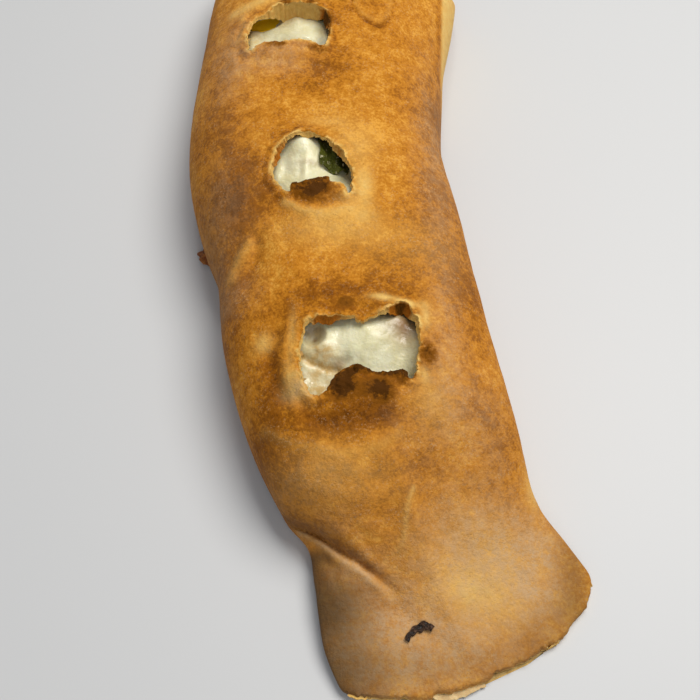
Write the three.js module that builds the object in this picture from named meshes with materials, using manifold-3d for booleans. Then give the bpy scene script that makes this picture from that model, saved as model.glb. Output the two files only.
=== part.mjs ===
// A baked stromboli: a long roll of pizza dough, pressed flat at both ends, with three torn steam vents
// in its top that show the melted cheese inside. It lies on its flat base, bent a little like a bow.
// Sizes are in millimetres. +Z is up, +Y runs from the near end to the far end, and z = 0 is the table.
import * as THREE from "three";
import { mergeVertices } from "three/addons/utils/BufferGeometryUtils.js";
import Module from "manifold-3d";

const { clamp, lerp, smoothstep } = THREE.MathUtils;

// ---- Driving dimensions ----------------------------------------------------------------------------

const ROLL_LENGTH = 378; // along the middle line, from the near end to the far end
// The middle line on the table, in even steps from the near end to the far end.
const MIDDLE = [
  [39.1, -176], [21.5, -136.5], [6.5, -98], [-5.2, -57], [-12.5, -15.5],
  [-22.2, 27], [-21.5, 70], [-18, 112], [-12.5, 150], [-5.9, 181],
];
// What the section measures at places along the roll: its reach to the left and to the right of the
// middle line, its crest height where nothing pinches it, and the height at which it is widest.
const SECTIONS = [
  { at: 0, left: 47.8, right: 48.4, crest: 24, belly: 8 },
  { at: 22, left: 47.8, right: 45.2, crest: 27, belly: 9 },
  { at: 38, left: 45, right: 42.2, crest: 29, belly: 10 },
  { at: 50, left: 42.4, right: 41.7, crest: 31, belly: 11 },
  { at: 62, left: 40, right: 43.8, crest: 34, belly: 13 },
  { at: 74, left: 44.4, right: 45.6, crest: 38, belly: 15 },
  { at: 96, left: 48.4, right: 47.8, crest: 43.5, belly: 17 },
  { at: 130, left: 50.5, right: 49.7, crest: 48, belly: 19 },
  { at: 160, left: 49.8, right: 50, crest: 49.5, belly: 19 },
  { at: 185, left: 52.4, right: 51.8, crest: 50.5, belly: 19 },
  { at: 230, left: 54.1, right: 53.8, crest: 52, belly: 18 },
  { at: 270, left: 54.6, right: 54.6, crest: 52, belly: 17 },
  { at: 312, left: 56.4, right: 57.2, crest: 49.5, belly: 14 },
  { at: 345, left: 53.5, right: 55.5, crest: 43, belly: 11 },
  { at: 378, left: 45.5, right: 47, crest: 32, belly: 8 },
];

const DOME_POWER = 0.82; // roundness of the section above its widest line: 1 is an ellipse
const FOOT_POWER = 0.5; // and below it, where the dough has slumped on the table
const FOOT_SPREAD = 1.25; // how far the base is flattened

const CRUST = 4.6; // thickness of the dough wall
const VENT_WALL = 2.6; // and where it has been stretched round the vents
const GAP = 0.4; // between the wall and the filling
const CAVITY = { start: 62, end: ROLL_LENGTH - 58 }; // the stretch that holds filling

// Each end is pinched flat. toe is where the rounded body starts to rise behind the flap, on the side
// of the fold and on the open side, and reach is the length over which it rises there.
const NEAR_END = {
  edge: 3.4,
  bow: 13.4,
  fold: { toe: 69, reach: 22, power: 0.5, slope: 0.27, bowPower: 2.1 },
  open: { toe: 6, reach: 84, power: 1.1, slope: 0.1, bowPower: 3.9 },
};
const FAR_END = {
  edge: 3.6,
  bow: 10,
  fold: { toe: 38, reach: 34, power: 0.7, slope: 0.22, bowPower: 2.4 },
  open: { toe: 10, reach: 62, power: 1.1, slope: 0.12, bowPower: 3.2 },
};
const FLAP_MOST = 15; // the flap is no thicker than this at its root
const TOE_FROM = 0.1; // the toe swings back in a straight line from here to the fold
const END_FADE = 46; // the bow of the end edge fades over this length
const CREASE_BLEND = 2.5; // how softly body and flap meet
const CORNER = { length: 7, trim: 1.8 }; // the flaps' corners are rounded off over this length

// Torn vents. Each outline runs round the hole, in millimetres from the vent's centre.
const VENTS = [
  {
    name: "near",
    x: -5,
    y: -76,
    rx: 21,
    ry: 16,
    sunk: 7,
    ring: 1.6,
    lip: { x: 3, y: -12, rx: 12, ry: 6, rise: 3 },
    outline: [
      [-21, 2], [-19.4, 10], [-16, 13.3], [-3, 13.7], [1, 12.2], [6.6, 14.8], [10.1, 16.2],
      [13.4, 19.4], [16.4, 19.6], [20.2, 13.5], [21.2, 6], [19.6, -3], [19.4, -7.2], [17.6, -9.8],
      [15.4, -6.2], [7, -7.6], [-1.2, -4.9], [-7.6, -7.6], [-9.8, -11], [-11, -13.9],
      [-15.8, -16], [-18.6, -12], [-20.8, -4],
    ],
  },
  {
    name: "middle",
    x: -23,
    y: 4.5,
    rx: 15,
    ry: 14,
    sunk: 6.5,
    ring: 1.6,
    lip: { x: 0, y: -11, rx: 9, ry: 6, rise: 2.8 },
    outline: [
      [-15.4, -2], [-13.2, 7], [-8.3, 12.6], [-1, 15], [5, 12.4], [9.7, 8.9], [13.9, 2.3],
      [15.6, -6.7], [15.5, -12.5], [14, -14.6], [12, -10.4], [7.4, -9.2], [6.6, -7.2], [0.3, -8],
      [-4, -10.2], [-7.2, -10.2], [-8, -13.4], [-10, -13.2], [-12, -10], [-14.7, -5.5],
    ],
  },
  {
    name: "far",
    x: -34,
    y: 79.5,
    rx: 17,
    ry: 13,
    sunk: 5.5,
    ring: 1.2,
    lip: { x: -1, y: -12, rx: 13, ry: 6, rise: 2.2 },
    outline: [
      [-16.2, -13.2], [-17.6, -4], [-15.3, 5.5], [-9.8, 9], [-6, 12.4], [0.4, 14.4], [6.9, 13],
      [11.6, 11.8], [15.7, 7.6], [16.8, 0], [16.5, -10.5], [14.2, -14], [9, -11.4], [2.2, -9.8],
      [-3.8, -12], [-7.4, -9.3], [-11, -10],
    ],
  },
];
const RING_AT = 1.2; // the swollen ring lies this far out, as a share of the vent's half size
const RING_WIDTH = 0.3;
const TEAR = 0.7; // how far the torn outline strays from a smooth one
const TEAR_STEPS = 48; // points round a vent
const CUT_FROM = 22; // the vents are cut from this height upwards
const CUT_DEPTH = 60;

// Low swellings and hollows of the crust, as smooth round bumps.
const SWELLINGS = [
  { x: -62, y: 40, rx: 16, ry: 34, rise: 1.6 },
  { x: -52, y: -32, rx: 12, ry: 14, rise: -2.2 },
  { x: 28, y: -40, rx: 14, ry: 26, rise: 1.4 },
  { x: -6, y: -34, rx: 26, ry: 10, rise: -1.4 },
  { x: -28, y: 46, rx: 26, ry: 12, rise: -1.6 },
  { x: -32, y: -104, rx: 12, ry: 14, rise: 1.8 },
  { x: 4, y: 88, rx: 9, ry: 10, rise: 1.8 },
  { x: 12, y: -128, rx: 4, ry: 20, rise: 1 },
  { x: -14, y: 122, rx: 30, ry: 12, rise: -1.2 },
];

// The cheese sinks round each vent, and has lumps, dimples and folds of its own there.
const SINK_SPREAD = 2.3; // the hollow's half size, as a share of the vent's
const CHEESE_LUMPS = [
  { x: -1, y: -74, rx: 17, ry: 14, rise: 5 },
  { x: -20, y: -70, rx: 7, ry: 8, rise: 3.6 },
  { x: -21, y: -66, rx: 3.4, ry: 3.8, rise: -3.4 },
  { x: -19, y: -90, rx: 9, ry: 6, rise: 3 },
  { x: -29, y: 6, rx: 8, ry: 12, rise: 4.6 },
  { x: -20, y: 0, rx: 9, ry: 7, rise: 3.2 },
  { x: -29, y: 82, rx: 10, ry: 8, rise: 3.4 },
  { x: -21, y: 74, rx: 6, ry: 8, rise: 2 },
];

// A wilted spinach leaf that lies in the middle vent, half under the crust.
const LEAF = { x: -15, y: 17, length: 20, width: 12.5, turn: 0.78, thick: 0.8, wave: 1.1, clear: 0.8 };
// A pool of golden oil in a dip of the cheese, in the far vent.
const OIL = { x: -44.9, y: 93.6, rx: 7, ry: 3.5, depth: 2.2, sunk: 0.6, turn: 0.28, clear: 0.35 };
// A charred flake stuck to the near flap: a crescent that stands a little proud of the crust.
const FLAKE = {
  stands: 1,
  sunk: 1,
  outline: [
    [10.2, -166.8], [11.9, -163.9], [15, -161.5], [18.3, -161.1],
    [19.5, -163.4], [17, -164.1], [14.3, -164.4], [12.2, -165.7],
  ],
};
// A dribble of browned cheese that leaked out under the left side.
const LEAK = { x: -65, y: -3.5, rx: 8, ry: 6.4, rz: 2.6 };

// ---- Shape of the roll -----------------------------------------------------------------------------

const middleLine = new THREE.CatmullRomCurve3(
  MIDDLE.map(([x, y]) => new THREE.Vector3(x, y, 0)), false, "catmullrom", 0.5);

// One measure of the section at a place along the roll, on a smooth curve through its table.
function measure(name, along) {
  const last = SECTIONS.length - 1;
  const i = Math.max(1, SECTIONS.findIndex((row, n) => n === last || row.at >= along));
  const [p, q] = [SECTIONS[i - 1], SECTIONS[i]];
  const slope = (n) => {
    const [a, b] = [SECTIONS[Math.max(0, n - 1)], SECTIONS[Math.min(last, n + 1)]];
    return (b[name] - a[name]) / (b.at - a.at);
  };
  const span = q.at - p.at;
  const t = (along - p.at) / span;
  const rise = q[name] - p[name];
  const [from, to] = [slope(i - 1) * span, slope(i) * span];
  return p[name] + t * (from + t * (3 * rise - 2 * from - to + t * (from + to - 2 * rise)));
}

// A smooth bump of height 1 at its centre, gone at about twice its half size.
function bump(x, y, { x: cx, y: cy, rx, ry }) {
  return Math.exp(-(((x - cx) / rx) ** 2) - ((y - cy) / ry) ** 2);
}

const signedPower = (v, p) => Math.sign(v) * Math.abs(v) ** p;

// The larger of two heights, rounded where they cross.
function softMax(a, b, blend) {
  const near = Math.max(0, blend - Math.abs(a - b)) / blend;
  return Math.max(a, b) + (near * near * blend) / 4;
}

// Height of the top at a distance from one end. foldSide runs from 1 at the fold to -1 at the open side.
function endHeight(end, distance, foldSide, crest) {
  const toe = lerp(end.open.toe, end.fold.toe, clamp((foldSide - TOE_FROM) / (1 - TOE_FROM), 0, 1));
  const side = smoothstep(foldSide, -0.15, 0.95);
  const reach = lerp(end.open.reach, end.fold.reach, side);
  const power = lerp(end.open.power, end.fold.power, side);
  const rise = Math.sin((Math.PI / 2) * clamp((distance - toe) / reach, 0, 1)) ** power;
  const slope = lerp(end.open.slope, end.fold.slope, smoothstep(foldSide, -0.4, 1));
  const flap = Math.min(FLAP_MOST, end.edge + slope * Math.max(0, distance));
  return Math.min(crest, softMax(flap, crest * rise, CREASE_BLEND));
}

// How far a place is from the nearest vent's centre, where 1 is about the vent's edge.
function ventDistance(x, y) {
  return Math.min(...VENTS.map((v) => Math.hypot((x - v.x) / v.rx, (y - v.y) / v.ry)));
}

// How far the end's edge is drawn back at one side of the middle line.
function bowShift(end, distance, foldSide) {
  const { bowPower } = foldSide > 0 ? end.fold : end.open;
  return end.bow * Math.abs(foldSide) ** bowPower * Math.max(0, 1 - distance / END_FADE);
}

// Swelling of the crust round the vents, and its low bumps, at a place on the table plan.
function relief(x, y) {
  let rise = 0;
  for (const swelling of SWELLINGS) rise += swelling.rise * bump(x, y, swelling);
  for (const vent of VENTS) {
    const out = Math.hypot((x - vent.x) / vent.rx, (y - vent.y) / vent.ry);
    rise += vent.ring * Math.exp(-(((out - RING_AT) / RING_WIDTH) ** 2));
    const lip = { ...vent.lip, x: vent.x + vent.lip.x, y: vent.y + vent.lip.y };
    rise += vent.lip.rise * bump(x, y, lip);
  }
  return rise;
}

// A point of the roll's skin: along it from the near end, and round its section from the right side
// over the top. inset moves it inwards on every side, as the cavity and the filling need.
function skin(along, angle, inset = 0) {
  const t = along / ROLL_LENGTH;
  const at = middleLine.getPoint(t);
  const heading = middleLine.getTangent(t);
  const crest = measure("crest", along);
  const c = Math.cos(angle);
  const s = Math.sin(angle);
  const inwards = clamp(Math.min(along, ROLL_LENGTH - along) / CORNER.length, 0, 1);
  const full = lerp(measure("left", along), measure("right", along), (1 + c) / 2);
  const half = full - CORNER.trim * (1 - inwards) ** 2;
  const share = signedPower(c, s > 0 ? DOME_POWER : FOOT_POWER);
  const shift = bowShift(NEAR_END, along, -share) - bowShift(FAR_END, ROLL_LENGTH - along, share);
  const place = at.clone().addScaledVector(heading, shift);
  place.x += heading.y * share * (half - inset);
  place.y -= heading.x * share * (half - inset);
  const fromNear = endHeight(NEAR_END, along + shift, -share, crest);
  const fromFar = endHeight(FAR_END, ROLL_LENGTH - along - shift, share, crest);
  const top = Math.min(fromNear, fromFar);
  const belly = Math.min(measure("belly", along), 0.45 * top);
  let z;
  if (s > 0) z = belly + (top + relief(place.x, place.y) * s - belly) * s ** DOME_POWER;
  else z = belly * Math.max(0, 1 - FOOT_SPREAD * (-s) ** FOOT_POWER);
  place.z = inset + (z * (top - 2 * inset)) / top;
  return place;
}

// ---- Meshes and solids -----------------------------------------------------------------------------

const wasm = await Module();
wasm.setup();

// A closed mesh from rows of points, each row one loop round the section. The ends are zipped shut,
// each point of the upper half to the one below it.
function loft(rows) {
  const count = rows[0].length;
  const corner = [];
  const index = [];
  for (const row of rows) for (const p of row) corner.push(p.x, p.y, p.z);
  const id = (row, column) => row * count + (column % count);
  for (let r = 0; r + 1 < rows.length; r++)
    for (let c = 0; c < count; c++) {
      index.push(id(r, c), id(r + 1, c), id(r + 1, c + 1));
      index.push(id(r, c), id(r + 1, c + 1), id(r, c + 1));
    }
  for (const [row, turned] of [[0, false], [rows.length - 1, true]])
    for (let c = 0; c < count / 2; c++) {
      const quad = [id(row, c), id(row, c + 1), id(row, count - c - 1), id(row, count - c)];
      if (turned) quad.reverse();
      index.push(quad[0], quad[1], quad[2], quad[0], quad[2], quad[3]);
    }
  const geometry = new THREE.BufferGeometry();
  geometry.setAttribute("position", new THREE.Float32BufferAttribute(corner, 3));
  geometry.setIndex(index);
  return geometry;
}

// A closed three.js geometry as a solid.
function solidOf(geometry) {
  const bare = new THREE.BufferGeometry();
  bare.setAttribute("position", geometry.getAttribute("position").clone());
  if (geometry.index) bare.setIndex(geometry.index.clone());
  const merged = mergeVertices(bare, 1e-4);
  const triVerts = [];
  const v = merged.index.array;
  for (let i = 0; i < v.length; i += 3)
    if (v[i] !== v[i + 1] && v[i + 1] !== v[i + 2] && v[i + 2] !== v[i])
      triVerts.push(v[i], v[i + 1], v[i + 2]);
  return new wasm.Manifold(new wasm.Mesh({
    numProp: 3,
    vertProperties: merged.getAttribute("position").array,
    triVerts: new Uint32Array(triVerts),
  }));
}

function geometryOf(solid) {
  const { numProp, vertProperties, triVerts } = solid.getMesh();
  const position = new Float32Array((vertProperties.length / numProp) * 3);
  for (let i = 0; i < position.length / 3; i++)
    position.set(vertProperties.subarray(i * numProp, i * numProp + 3), i * 3);
  const geometry = new THREE.BufferGeometry();
  geometry.setAttribute("position", new THREE.BufferAttribute(position, 3));
  geometry.setIndex(new THREE.BufferAttribute(triVerts, 1));
  geometry.computeVertexNormals();
  return geometry;
}

// Places along the roll between two ends, spaced by a function of the place.
function steps(from, to, spacing) {
  const places = [from];
  for (let at = from + spacing(from); at < to - spacing(to) / 2; at += spacing(at)) places.push(at);
  places.push(to);
  return places;
}

// Angles round the section from the right side. crowd brings them closer together over the top.
function angles(count, crowd) {
  return Array.from({ length: count }, (_, i) => {
    const even = (2 * Math.PI * i) / count;
    return even + crowd * Math.cos(even);
  });
}

// ---- Crust -----------------------------------------------------------------------------------------

const CRUST_ROWS = (along) => (along < 80 ? 3.1 : 6);
const CRUST_COLUMNS = 36;
const INNER_ROWS = (along) => (nearVent(along) ? 4.2 : 11);
const INNER_COLUMNS = 28;
const INNER_CROWD = 0.3;

// Whether a place along the roll is beside a vent.
function nearVent(along) {
  const { y } = middleLine.getPoint(along / ROLL_LENGTH);
  return VENTS.some((vent) => Math.abs(y - vent.y) < vent.ry * SINK_SPREAD + 4);
}

// The torn edge of the near and far flap: in and out by a seeded mix of waves.
function frayed(point, row, rowCount) {
  if (row > 0 && row < rowCount - 1) return point;
  const wave = Math.sin(point.x * 0.43 + 1) + Math.sin(point.x * 1.07) * 0.7;
  point.y += wave * TEAR;
  return point;
}

function crustBody() {
  const places = steps(0, ROLL_LENGTH, CRUST_ROWS);
  const round = angles(CRUST_COLUMNS, 0);
  return solidOf(loft(places.map((along, row) =>
    round.map((angle) => frayed(skin(along, angle), row, places.length)))));
}

function cavity() {
  const places = steps(CAVITY.start, CAVITY.end, INNER_ROWS);
  const round = angles(INNER_COLUMNS, INNER_CROWD);
  return solidOf(loft(places.map((along) => round.map((angle) => {
    const point = skin(along, angle, CRUST);
    const over = smoothstep(Math.sin(angle), 0.3, 0.7);
    point.z += (CRUST - VENT_WALL) * over * (1 - smoothstep(ventDistance(point.x, point.y), 1, 1.7));
    return point;
  }))));
}

// The hole's outline, torn a little to either side of a smooth loop through its points.
function ventOutline(vent) {
  const loop = new THREE.CatmullRomCurve3(
    vent.outline.map(([x, y]) => new THREE.Vector3(vent.x + x, vent.y + y, 0)), true, "centripetal");
  return loop.getSpacedPoints(TEAR_STEPS).slice(0, -1).map((p, i) => {
    const stray = TEAR * (Math.sin(i * 2.1 + vent.x) * 0.6 + Math.sin(i * 3.7) * 0.4);
    return new THREE.Vector2(p.x + stray, p.y + stray * 0.6);
  });
}

function ventCutter(vent) {
  const geometry = new THREE.ExtrudeGeometry(new THREE.Shape(ventOutline(vent)), {
    depth: CUT_DEPTH,
    bevelEnabled: false,
  });
  return solidOf(geometry.translate(0, 0, CUT_FROM));
}

function ball(x, y, z, rx, ry, rz) {
  return solidOf(new THREE.SphereGeometry(1, 10, 8).scale(rx, ry, rz).translate(x, y, z));
}

// Height of the skin's top face over a place, found by smaller and smaller steps towards it.
function topAt(x, y, inset = 0) {
  const [, first] = MIDDLE[0];
  const [, last] = MIDDLE.at(-1);
  let best = { along: ((y - first) / (last - first)) * ROLL_LENGTH, angle: Math.PI / 2, gap: Infinity };
  for (let step = 16; step > 0.02; step /= 2) {
    let moved = true;
    while (moved) {
      moved = false;
      for (const [da, dr] of [[0, 0], [step, 0], [-step, 0], [0, step / 50], [0, -step / 50]]) {
        const along = clamp(best.along + da, 0, ROLL_LENGTH);
        const angle = clamp(best.angle + dr, 0.02, Math.PI - 0.02);
        const p = skin(along, angle, inset);
        const gap = Math.hypot(p.x - x, p.y - y);
        if (gap < best.gap - 1e-6) {
          best = { along, angle, gap, z: p.z };
          moved = true;
        }
      }
    }
  }
  return best.z;
}

function charredFlake() {
  const [start, ...rest] = FLAKE.outline.map(([x, y]) => new THREE.Vector2(x, y));
  const shape = new THREE.Shape().moveTo(start.x, start.y).splineThru([...rest, start]);
  const geometry = new THREE.ExtrudeGeometry(shape, {
    depth: FLAKE.stands + FLAKE.sunk,
    curveSegments: 2,
    bevelEnabled: false,
  });
  const corners = geometry.getAttribute("position");
  for (let i = 0; i < corners.count; i++)
    corners.setZ(i, corners.getZ(i) - FLAKE.sunk + topAt(corners.getX(i), corners.getY(i)));
  return solidOf(geometry);
}

function crust() {
  let solid = crustBody().subtract(cavity());
  for (const vent of VENTS) solid = solid.subtract(ventCutter(vent));
  return solid
    .add(charredFlake())
    .add(ball(LEAK.x, LEAK.y, LEAK.rz, LEAK.rx, LEAK.ry, LEAK.rz));
}

// ---- Filling ---------------------------------------------------------------------------------------

// How far the cheese's top lies below the inside of the crust.
function cheeseDrop(x, y) {
  let sink = 0;
  for (const vent of VENTS) {
    const hollow = { x: vent.x, y: vent.y, rx: vent.rx * SINK_SPREAD, ry: vent.ry * SINK_SPREAD };
    const out = Math.hypot((x - hollow.x) / hollow.rx, (y - hollow.y) / hollow.ry);
    sink = Math.max(sink, vent.sunk * (1 - smoothstep(out, 0.6, 1)));
  }
  let lumps = 0;
  for (const lump of CHEESE_LUMPS) lumps += lump.rise * bump(x, y, lump);
  return Math.max(0, sink - lumps * Math.min(1, sink / 3));
}

function fillingPoint(along, angle) {
  const point = skin(along, angle, CRUST + GAP);
  const up = Math.max(0, Math.sin(angle));
  point.z -= cheeseDrop(point.x, point.y) * smoothstep(up, 0.2, 0.6);
  return point;
}

function filling() {
  const places = steps(CAVITY.start + 1, CAVITY.end - 1, INNER_ROWS);
  const round = angles(INNER_COLUMNS, INNER_CROWD);
  return solidOf(loft(places.map((along) => round.map((angle) => fillingPoint(along, angle)))));
}

// Height of the cheese over a place, for what lies on it.
const cheeseTop = (x, y) => topAt(x, y, CRUST + GAP) - cheeseDrop(x, y);

// ---- Leaf and oil ----------------------------------------------------------------------------------

const LEAF_STEPS = 12;

// A thin wavy sheet that follows the cheese: rows across the leaf, each a thin loop.
function spinachLeaf() {
  const rows = [];
  for (let i = 0; i <= LEAF_STEPS; i++) {
    const t = i / LEAF_STEPS;
    const half = (LEAF.width / 2) * Math.sin(Math.PI * lerp(0.08, 0.93, t)) ** 0.7;
    const upper = [];
    const lower = [];
    for (let j = 0; j <= LEAF_STEPS / 2; j++) {
      const across = lerp(half, -half, j / (LEAF_STEPS / 2));
      const lengthwise = (t - 0.5) * LEAF.length;
      const x = LEAF.x + across * Math.cos(LEAF.turn) - lengthwise * Math.sin(LEAF.turn);
      const y = LEAF.y + across * Math.sin(LEAF.turn) + lengthwise * Math.cos(LEAF.turn);
      const wave = LEAF.wave * (1 + Math.sin(lengthwise * 0.7 + across * 0.5)) * 0.5;
      const z = cheeseTop(x, y) + LEAF.clear + wave;
      lower.unshift(new THREE.Vector3(x, y, z));
      upper.push(new THREE.Vector3(x, y, z + LEAF.thick));
    }
    rows.push([...upper, ...lower]);
  }
  return solidOf(loft(rows));
}

const poolLevel = cheeseTop(OIL.x, OIL.y) - OIL.sunk;

// The pool is the lower half of a flat ball, cut off at its level.
function oilPool() {
  const size = 4 * OIL.rx;
  const above = solidOf(new THREE.BoxGeometry(size, size, size)
    .translate(OIL.x, OIL.y, poolLevel + size / 2));
  return bowl(OIL, 0).subtract(above);
}

// The bowl in the cheese that holds the pool, with room all round it.
function bowl({ x, y, rx, ry, depth }, room) {
  const round = new THREE.SphereGeometry(1, 24, 12).rotateX(Math.PI / 2);
  const at = round.scale(rx + room, ry + room, depth + room).rotateZ(OIL.turn);
  return solidOf(at.translate(x, y, poolLevel));
}

function bowlCutter() {
  const { x, y, rx, ry, clear } = OIL;
  const wall = new THREE.CylinderGeometry(1, 1, OIL.sunk * 4, 24).rotateX(Math.PI / 2);
  wall.scale(rx + clear, ry + clear, 1).rotateZ(OIL.turn).translate(x, y, poolLevel + OIL.sunk * 2);
  return bowl(OIL, clear).add(solidOf(wall));
}

// ---- The stromboli ---------------------------------------------------------------------------------

const finish = (color, roughness) => new THREE.MeshStandardMaterial({ color, roughness, metalness: 0 });
const PIECES = [
  { name: "crust", solid: crust(), material: finish(0xc08239, 0.7) },
  { name: "filling", solid: filling().subtract(bowlCutter()), material: finish(0xe6e2c0, 0.35) },
  { name: "spinach_leaf", solid: spinachLeaf(), material: finish(0x3c4a18, 0.45) },
  { name: "oil_pool", solid: oilPool(), material: finish(0x96701a, 0.12) },
];

const stromboli = new THREE.Group();
for (const { name, solid, material } of PIECES) {
  const mesh = new THREE.Mesh(geometryOf(solid), material);
  mesh.name = name;
  stromboli.add(mesh);
}

export default stromboli;
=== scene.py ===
"""A baked stromboli on a pale table: torn dough crust, melted cheese, a leaf, oil and baked scraps.

Lengths are in millimetres in the row's frame, and are turned into metres as each mesh is written.
"""

import math

import bpy
import numpy as np
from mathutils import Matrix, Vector, noise
from mathutils.bvhtree import BVHTree


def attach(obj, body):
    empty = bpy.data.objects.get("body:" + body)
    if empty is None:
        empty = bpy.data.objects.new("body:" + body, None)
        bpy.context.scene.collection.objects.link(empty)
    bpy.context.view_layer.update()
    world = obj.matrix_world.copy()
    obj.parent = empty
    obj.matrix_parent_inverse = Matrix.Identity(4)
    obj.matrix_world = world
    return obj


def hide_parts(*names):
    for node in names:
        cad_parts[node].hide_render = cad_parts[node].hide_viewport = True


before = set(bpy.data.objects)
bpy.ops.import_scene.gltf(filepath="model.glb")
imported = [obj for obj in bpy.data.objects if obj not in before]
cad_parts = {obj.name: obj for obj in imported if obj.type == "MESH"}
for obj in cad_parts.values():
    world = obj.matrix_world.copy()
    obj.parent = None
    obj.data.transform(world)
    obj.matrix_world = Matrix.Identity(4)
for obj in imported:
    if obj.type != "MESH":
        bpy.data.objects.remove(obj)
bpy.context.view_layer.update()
MM = 0.001

# ---- Sizes, as in the solids ------------------------------------------------------------------------

ROLL_LENGTH = 378.0
# The roll's middle line seen from above, from the near end to the far end.
MIDDLE = np.array([
    (39.1, -176), (21.5, -136.5), (6.5, -98), (-5.2, -57), (-12.5, -15.5),
    (-22.2, 27), (-21.5, 70), (-18, 112), (-12.5, 150), (-5.9, 181),
], float)
# The section at places along the roll: its half width on each side, and the heights of its top and of
# its widest place.
SECTIONS = {
    "at": (0, 22, 38, 50, 62, 74, 96, 130, 160, 185, 230, 270, 312, 345, 378),
    "left": (47.8, 47.8, 45, 42.4, 40, 44.4, 48.4, 50.5, 49.8, 52.4, 54.1, 54.6, 56.4, 53.5, 45.5),
    "right": (48.4, 45.2, 42.2, 41.7, 43.8, 45.6, 47.8, 49.7, 50, 51.8, 53.8, 54.6, 57.2, 55.5, 47),
    "crest": (24, 27, 29, 31, 34, 38, 43.5, 48, 49.5, 50.5, 52, 52, 49.5, 43, 32),
    "belly": (8, 9, 10, 11, 13, 15, 17, 19, 19, 19, 18, 17, 14, 11, 8),
}
# How round the section is above and below its widest place, and how broad its flat foot is.
DOME_POWER, FOOT_POWER, FOOT_SPREAD = 0.82, 0.5, 1.25
# The crust's thickness, and the room between it and the cheese.
CRUST, GAP = 4.6, 0.4
# Both flat ends: how high a flap gets, how far across it the fold begins, how far along the bow of the
# edge reaches, and how the corners are trimmed.
FLAP_MOST, TOE_FROM, END_FADE = 15, 0.1, 46
CORNER_LENGTH, CORNER_TRIM = 7.0, 1.8
# How widely the crease between flap and body is rounded where it is sharp and where it is soft, and
# between which shares of the half width it changes.
CREASE_SHARP, CREASE_SOFT, CREASE_FROM, CREASE_TO = 2.6, 9.0, 0.34, 0.58
# Each flat end: the height of its edge, how far the edge is bowed, and its folded and its open side. The
# body starts at the toe and reaches its full height within the reach.
NEAR_END = dict(
    edge=3.4, bow=13.4,
    fold=dict(toe=69, reach=22, power=0.5, slope=0.27, bow_power=2.1),
    open=dict(toe=6, reach=84, power=1.1, slope=0.1, bow_power=3.9))
FAR_END = dict(
    edge=3.6, bow=10,
    fold=dict(toe=38, reach=34, power=0.7, slope=0.22, bow_power=2.4),
    open=dict(toe=10, reach=62, power=1.1, slope=0.12, bow_power=3.2))

# Each vent: its centre, half size, how far the cheese has sunk, its swollen ring, its lip on the near
# side, and its torn outline in millimetres from the centre.
VENTS = {
    "near": dict(
        at=(-5, -76), half=(21, 16), sunk=7, ring=1.6, lip=(3, -12, 12, 6, 3),
        outline=[(-21, 2), (-19.4, 10), (-16, 13.3), (-3, 13.7), (1, 12.2), (6.6, 14.8), (10.1, 16.2),
                 (13.4, 19.4), (16.4, 19.6), (20.2, 13.5), (21.2, 6), (19.6, -3), (19.4, -7.2),
                 (17.6, -9.8), (15.4, -6.2), (7, -7.6), (-1.2, -4.9), (-7.6, -7.6), (-9.8, -11),
                 (-11, -13.9), (-15.8, -16), (-18.6, -12), (-20.8, -4)]),
    "middle": dict(
        at=(-23, 4.5), half=(15, 14), sunk=6.5, ring=1.6, lip=(0, -11, 9, 6, 2.8),
        outline=[(-15.4, -2), (-13.2, 7), (-8.3, 12.6), (-1, 15), (5, 12.4), (9.7, 8.9), (13.9, 2.3),
                 (15.6, -6.7), (15.5, -12.5), (14, -14.6), (12, -10.4), (7.4, -9.2), (6.6, -7.2),
                 (0.3, -8), (-4, -10.2), (-7.2, -10.2), (-8, -13.4), (-10, -13.2), (-12, -10),
                 (-14.7, -5.5)]),
    "far": dict(
        at=(-34, 79.5), half=(17, 13), sunk=5.5, ring=1.2, lip=(-1, -12, 13, 6, 2.2),
        outline=[(-16.2, -13.2), (-17.6, -4), (-15.3, 5.5), (-9.8, 9), (-6, 12.4), (0.4, 14.4),
                 (6.9, 13), (11.6, 11.8), (15.7, 7.6), (16.8, 0), (16.5, -10.5), (14.2, -14),
                 (9, -11.4), (2.2, -9.8), (-3.8, -12), (-7.4, -9.3), (-11, -10)]),
}
# In half sizes of a vent: where its ring lies, how wide that is, and how far out the cheese sinks.
RING_AT, RING_WIDTH, SINK_SPREAD = 1.2, 0.3, 2.3
# A torn outline gets so many steps between two of its points.
OUTLINE_STEPS = 24
# Broad swellings and hollows of the roll, then of the cheese: x, y, half width, half length and height.
SWELLINGS = [
    (-62, 40, 16, 34, 1.6), (-52, -32, 12, 14, -2.2), (28, -40, 14, 26, 1.4), (-6, -34, 26, 10, -1.4),
    (-28, 46, 26, 12, -1.6), (-32, -104, 12, 14, 1.8), (4, 88, 9, 10, 1.8), (12, -128, 4, 20, 1),
    (-14, 122, 30, 12, -1.2),
]
CHEESE_LUMPS = [
    (-1, -74, 17, 14, 5), (-20, -70, 7, 8, 3.6), (-21, -66, 3.4, 3.8, -3.4), (-19, -90, 9, 6, 3),
    (-29, 6, 8, 12, 4.6), (-20, 0, 9, 7, 3.2), (-29, 82, 10, 8, 3.4), (-21, 74, 6, 8, 2),
]
# The oil pool: its middle and half sizes, how far it lies below the cheese's top, and its turn.
OIL = dict(at=(-44.4, 93.7), half=(7.6, 3.6), sunk=0.5, turn=0.28)

# ---- Shape of the roll ------------------------------------------------------------------------------


def bump(x, y, place):
    """A smooth round bump of height 1 at (x, y, half width, half length)."""
    cx, cy, rx, ry = place[:4]
    return np.exp(-(((x - cx) / rx) ** 2) - ((y - cy) / ry) ** 2)


def marks(x, y, places):
    """The sum of bumps, each (x, y, half width, half length, height)."""
    return sum(p[4] * bump(x, y, p) for p in places)


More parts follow.
